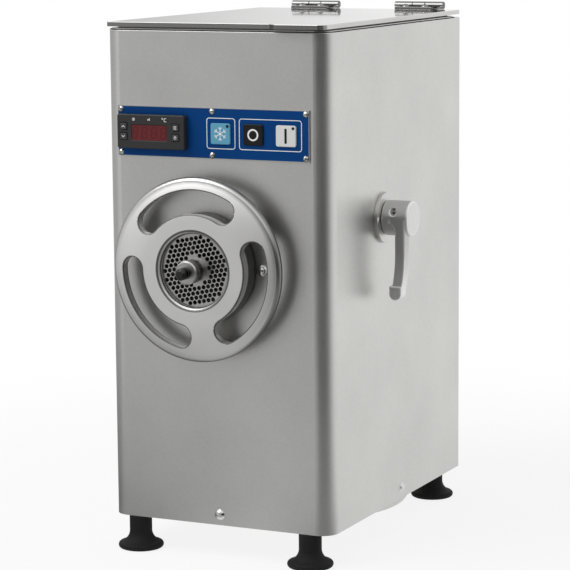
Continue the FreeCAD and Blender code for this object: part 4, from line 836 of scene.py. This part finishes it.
def stage_material(name, build):
    """Material of a stage piece, whose surface shader build makes."""
    material = bpy.data.materials.new(name)
    material.use_nodes = True
    tree = material.node_tree
    tree.nodes.remove(tree.nodes["Principled BSDF"])
    at = Tone(tree, tree.nodes.new("ShaderNodeTexCoord").outputs["Object"])
    tree.links.new(build(at).socket, tree.nodes["Material Output"].inputs["Surface"])
    return material


class GRINDER_OT_stage(bpy.types.Operator):
    """Set up the pale floor, the soft light, the dark screen before the front and the camera."""
    bl_idname = "grinder.stage"
    bl_label = "Stage"

    def execute(self, context):
        stage = context.scene.grinder_stage
        context.scene.view_settings.view_transform = "Standard"
        self.room(context, stage)
        self.floor(context, stage)
        self.screen(context, stage)
        self.lamp(context, stage)
        self.camera(context, stage)
        return {"FINISHED"}

    def show(self, context, name, bm, material):
        """Make a stage piece of a mesh."""
        mesh = bpy.data.meshes.new(name)
        bm.to_mesh(mesh)
        bm.free()
        mesh.materials.append(material)
        made = bpy.data.objects.new(name, mesh)
        context.scene.collection.objects.link(made)
        return made

    def room(self, context, stage):
        """Plain light all round, which is white where the camera or gloss sees it."""
        world = bpy.data.worlds.new("Room")
        context.scene.world = world
        world.use_nodes = True
        light = world.node_tree.nodes["Background"]
        light.inputs["Color"].default_value = PLAIN_WHITE
        seen = backdrop_mask(Tone(world.node_tree, light.outputs[0]))
        strength = stage.world_light + (1.0 - stage.world_light) * seen
        world.node_tree.links.new(strength.socket, light.inputs["Strength"])

    def floor(self, context, stage):
        """Matt floor that goes over into white away from the part."""
        near, far, near_white = 0.35, 1.0, 0.84

        def build(at):
            white = at.node("ShaderNodeEmission", {}, {"Color": PLAIN_WHITE, "Strength": 1.0})
            matt = at.node("ShaderNodeBsdfDiffuse", {}, {"Color": FLOOR_GREY})
            share = ramp(reach_of(at), near, far, near_white, 1.0) * backdrop_mask(at)
            return at.node("ShaderNodeMixShader", {}, {0: share, 1: matt, 2: white})
        bm = bmesh.new()
        bmesh.ops.create_grid(bm, x_segments=1, y_segments=1, size=stage.floor_size / 2)
        self.show(context, "floor", bm, stage_material("Floor", build))

    def screen(self, context, stage):
        """Screen that only reflections see, as the dim side of a room before the front."""
        far, wing_near, dusk_near, turn_near, strip_reach = 1.9, 0.25, 0.5, 0.4, (1.2, 1.8)
        wing_gain, near_low, near_high, far_gain = 1.6, 0.40, 0.74, 1.12
        strip_dark, foot_tone = 0.48, 0.3
        most_turn = math.radians(24)

        def fan(bearing, span, start=0.0, end=1.0):
            """Smooth step between two bearings in degrees."""
            return ramp(bearing, math.radians(span[0]), math.radians(span[1]), start, end)

        def build(at):
            bearing = along(at, "X").maths("ARCTAN2", 0.0 - along(at, "Y"))
            reach = reach_of(at)
            wing = fan(bearing, WING_RISE, stage.wall_tone, wing_gain * stage.wall_tone)
            near = fan(bearing, NEAR_RISE, near_low, near_high)
            wing = wing * (near + (far_gain - near) * ramp(reach, wing_near, far))
            off_strip = (bearing - math.radians(STRIP_MIDDLE)).maths("ABSOLUTE")
            strip = fan(off_strip, STRIP_FADE, strip_dark, 0.0) * ramp(reach, *strip_reach)
            wing = wing * (1.0 - strip)
            dusk = ramp(reach, dusk_near, far, foot_tone, stage.screen_tone)
            shift = ramp(reach, turn_near, far, most_turn, 0.0)
            tone = wing + (dusk - wing) * fan(bearing - shift, WING_END)
            seen = fan(bearing, RIGHT_FADE, 1.0, 0.0) * fan(bearing, LEFT_FADE)
            seen = seen * ramp(along(at, "Z"), *TOP_FADE, 1.0, 0.0)
            dim = at.node("ShaderNodeEmission", {}, {"Color": tone, "Strength": 1.0})
            clear = at.node("ShaderNodeBsdfTransparent")
            return at.node("ShaderNodeMixShader", {}, {0: seen, 1: clear, 2: dim})
        middle = (0.0, 0.0, 0.0)
        bm = bmesh.new()
        points = [bm.verts.new(point) for point in SCREEN_LINE]
        edges = [bm.edges.new(pair) for pair in zip(points, points[1:])]
        start = Matrix.Rotation(math.radians(SCREEN_START), 3, "Z")
        bmesh.ops.rotate(bm, cent=middle, matrix=start, verts=points)
        bmesh.ops.spin(bm, geom=points + edges, cent=middle, axis=(0.0, 0.0, 1.0),
                       angle=math.radians(SCREEN_SWEEP), steps=SCREEN_STEPS)
        made = self.show(context, "dark_screen", bm, stage_material("Dark screen", build))
        made.visible_camera = False
        made.visible_diffuse = False
        made.visible_transmission = False
        made.visible_shadow = False

    def lamp(self, context, stage):
        """Large soft lamp to the left, above the part."""
        light = bpy.data.lights.new("Soft lamp", "AREA")
        light.shape = "SQUARE"
        light.size = LAMP_SIDE
        light.energy = stage.lamp_power
        lamp = bpy.data.objects.new("soft_lamp", light)
        lamp.location = LAMP_PLACE
        aim = Vector(LAMP_AIM) - lamp.location
        lamp.rotation_euler = aim.to_track_quat("-Z", "Y").to_euler()
        context.scene.collection.objects.link(lamp)

    def camera(self, context, stage):
        """Camera to the right of the front, a little above the part."""
        data = bpy.data.cameras.new("Camera")
        data.sensor_width = SENSOR_WIDTH
        data.sensor_fit = "HORIZONTAL"
        data.lens = stage.lens
        camera = bpy.data.objects.new("camera", data)
        yaw, pitch, roll = map(math.radians, (CAMERA_YAW, CAMERA_PITCH, CAMERA_ROLL))
        ahead = Vector((-math.sin(yaw) * math.cos(pitch), math.cos(yaw) * math.cos(pitch),
                        math.sin(pitch)))
        right = Vector((math.cos(yaw), math.sin(yaw), 0.0))
        up = right.cross(ahead)
        rolled_right = math.cos(roll) * right + math.sin(roll) * up
        rolled_up = math.cos(roll) * up - math.sin(roll) * right
        axes = Matrix((rolled_right, rolled_up, -ahead)).transposed().to_4x4()
        camera.matrix_world = Matrix.Translation(CAMERA_PLACE) @ axes
        context.scene.collection.objects.link(camera)
        context.scene.camera = camera


PIECES = (
    GRINDER_OT_cabinet, GRINDER_OT_lid, GRINDER_OT_handwheel, GRINDER_OT_grinding_head,
    GRINDER_OT_lock_lever, GRINDER_OT_control_panel, GRINDER_OT_thermostat, GRINDER_OT_buttons,
    GRINDER_OT_drive, GRINDER_OT_cooling, GRINDER_OT_stage,
)


class GRINDER_PT_pieces(bpy.types.Panel):
    """Sidebar panel with the grinder's sizes, colours and pieces."""
    bl_idname = "GRINDER_PT_pieces"
    bl_label = "Meat grinder"
    bl_space_type = "VIEW_3D"
    bl_region_type = "UI"
    bl_category = "Grinder"

    def draw(self, context):
        scene = context.scene
        for group in (scene.grinder_sizes, scene.grinder_colours, scene.grinder_stage):
            box = self.layout.box()
            for name in group.bl_rna.properties.keys():
                if name not in ("rna_type", "name"):
                    box.prop(group, name)
        for kind in PIECES:
            self.layout.operator(kind.bl_idname)


CLASSES = (GrinderSizes, GrinderColours, GrinderStage) + PIECES + (GRINDER_PT_pieces,)


def register():
    for kind in CLASSES:
        bpy.utils.register_class(kind)
    bpy.types.Scene.grinder_sizes = PointerProperty(type=GrinderSizes)
    bpy.types.Scene.grinder_colours = PointerProperty(type=GrinderColours)
    bpy.types.Scene.grinder_stage = PointerProperty(type=GrinderStage)


def unregister():
    del bpy.types.Scene.grinder_stage
    del bpy.types.Scene.grinder_colours
    del bpy.types.Scene.grinder_sizes
    for kind in reversed(CLASSES):
        bpy.utils.unregister_class(kind)


def main():
    """Build every piece and the stage."""
    register()
    for kind in PIECES:
        group, name = kind.bl_idname.split(".")
        getattr(getattr(bpy.ops, group), name)()


if __name__ == "__main__":
    main()
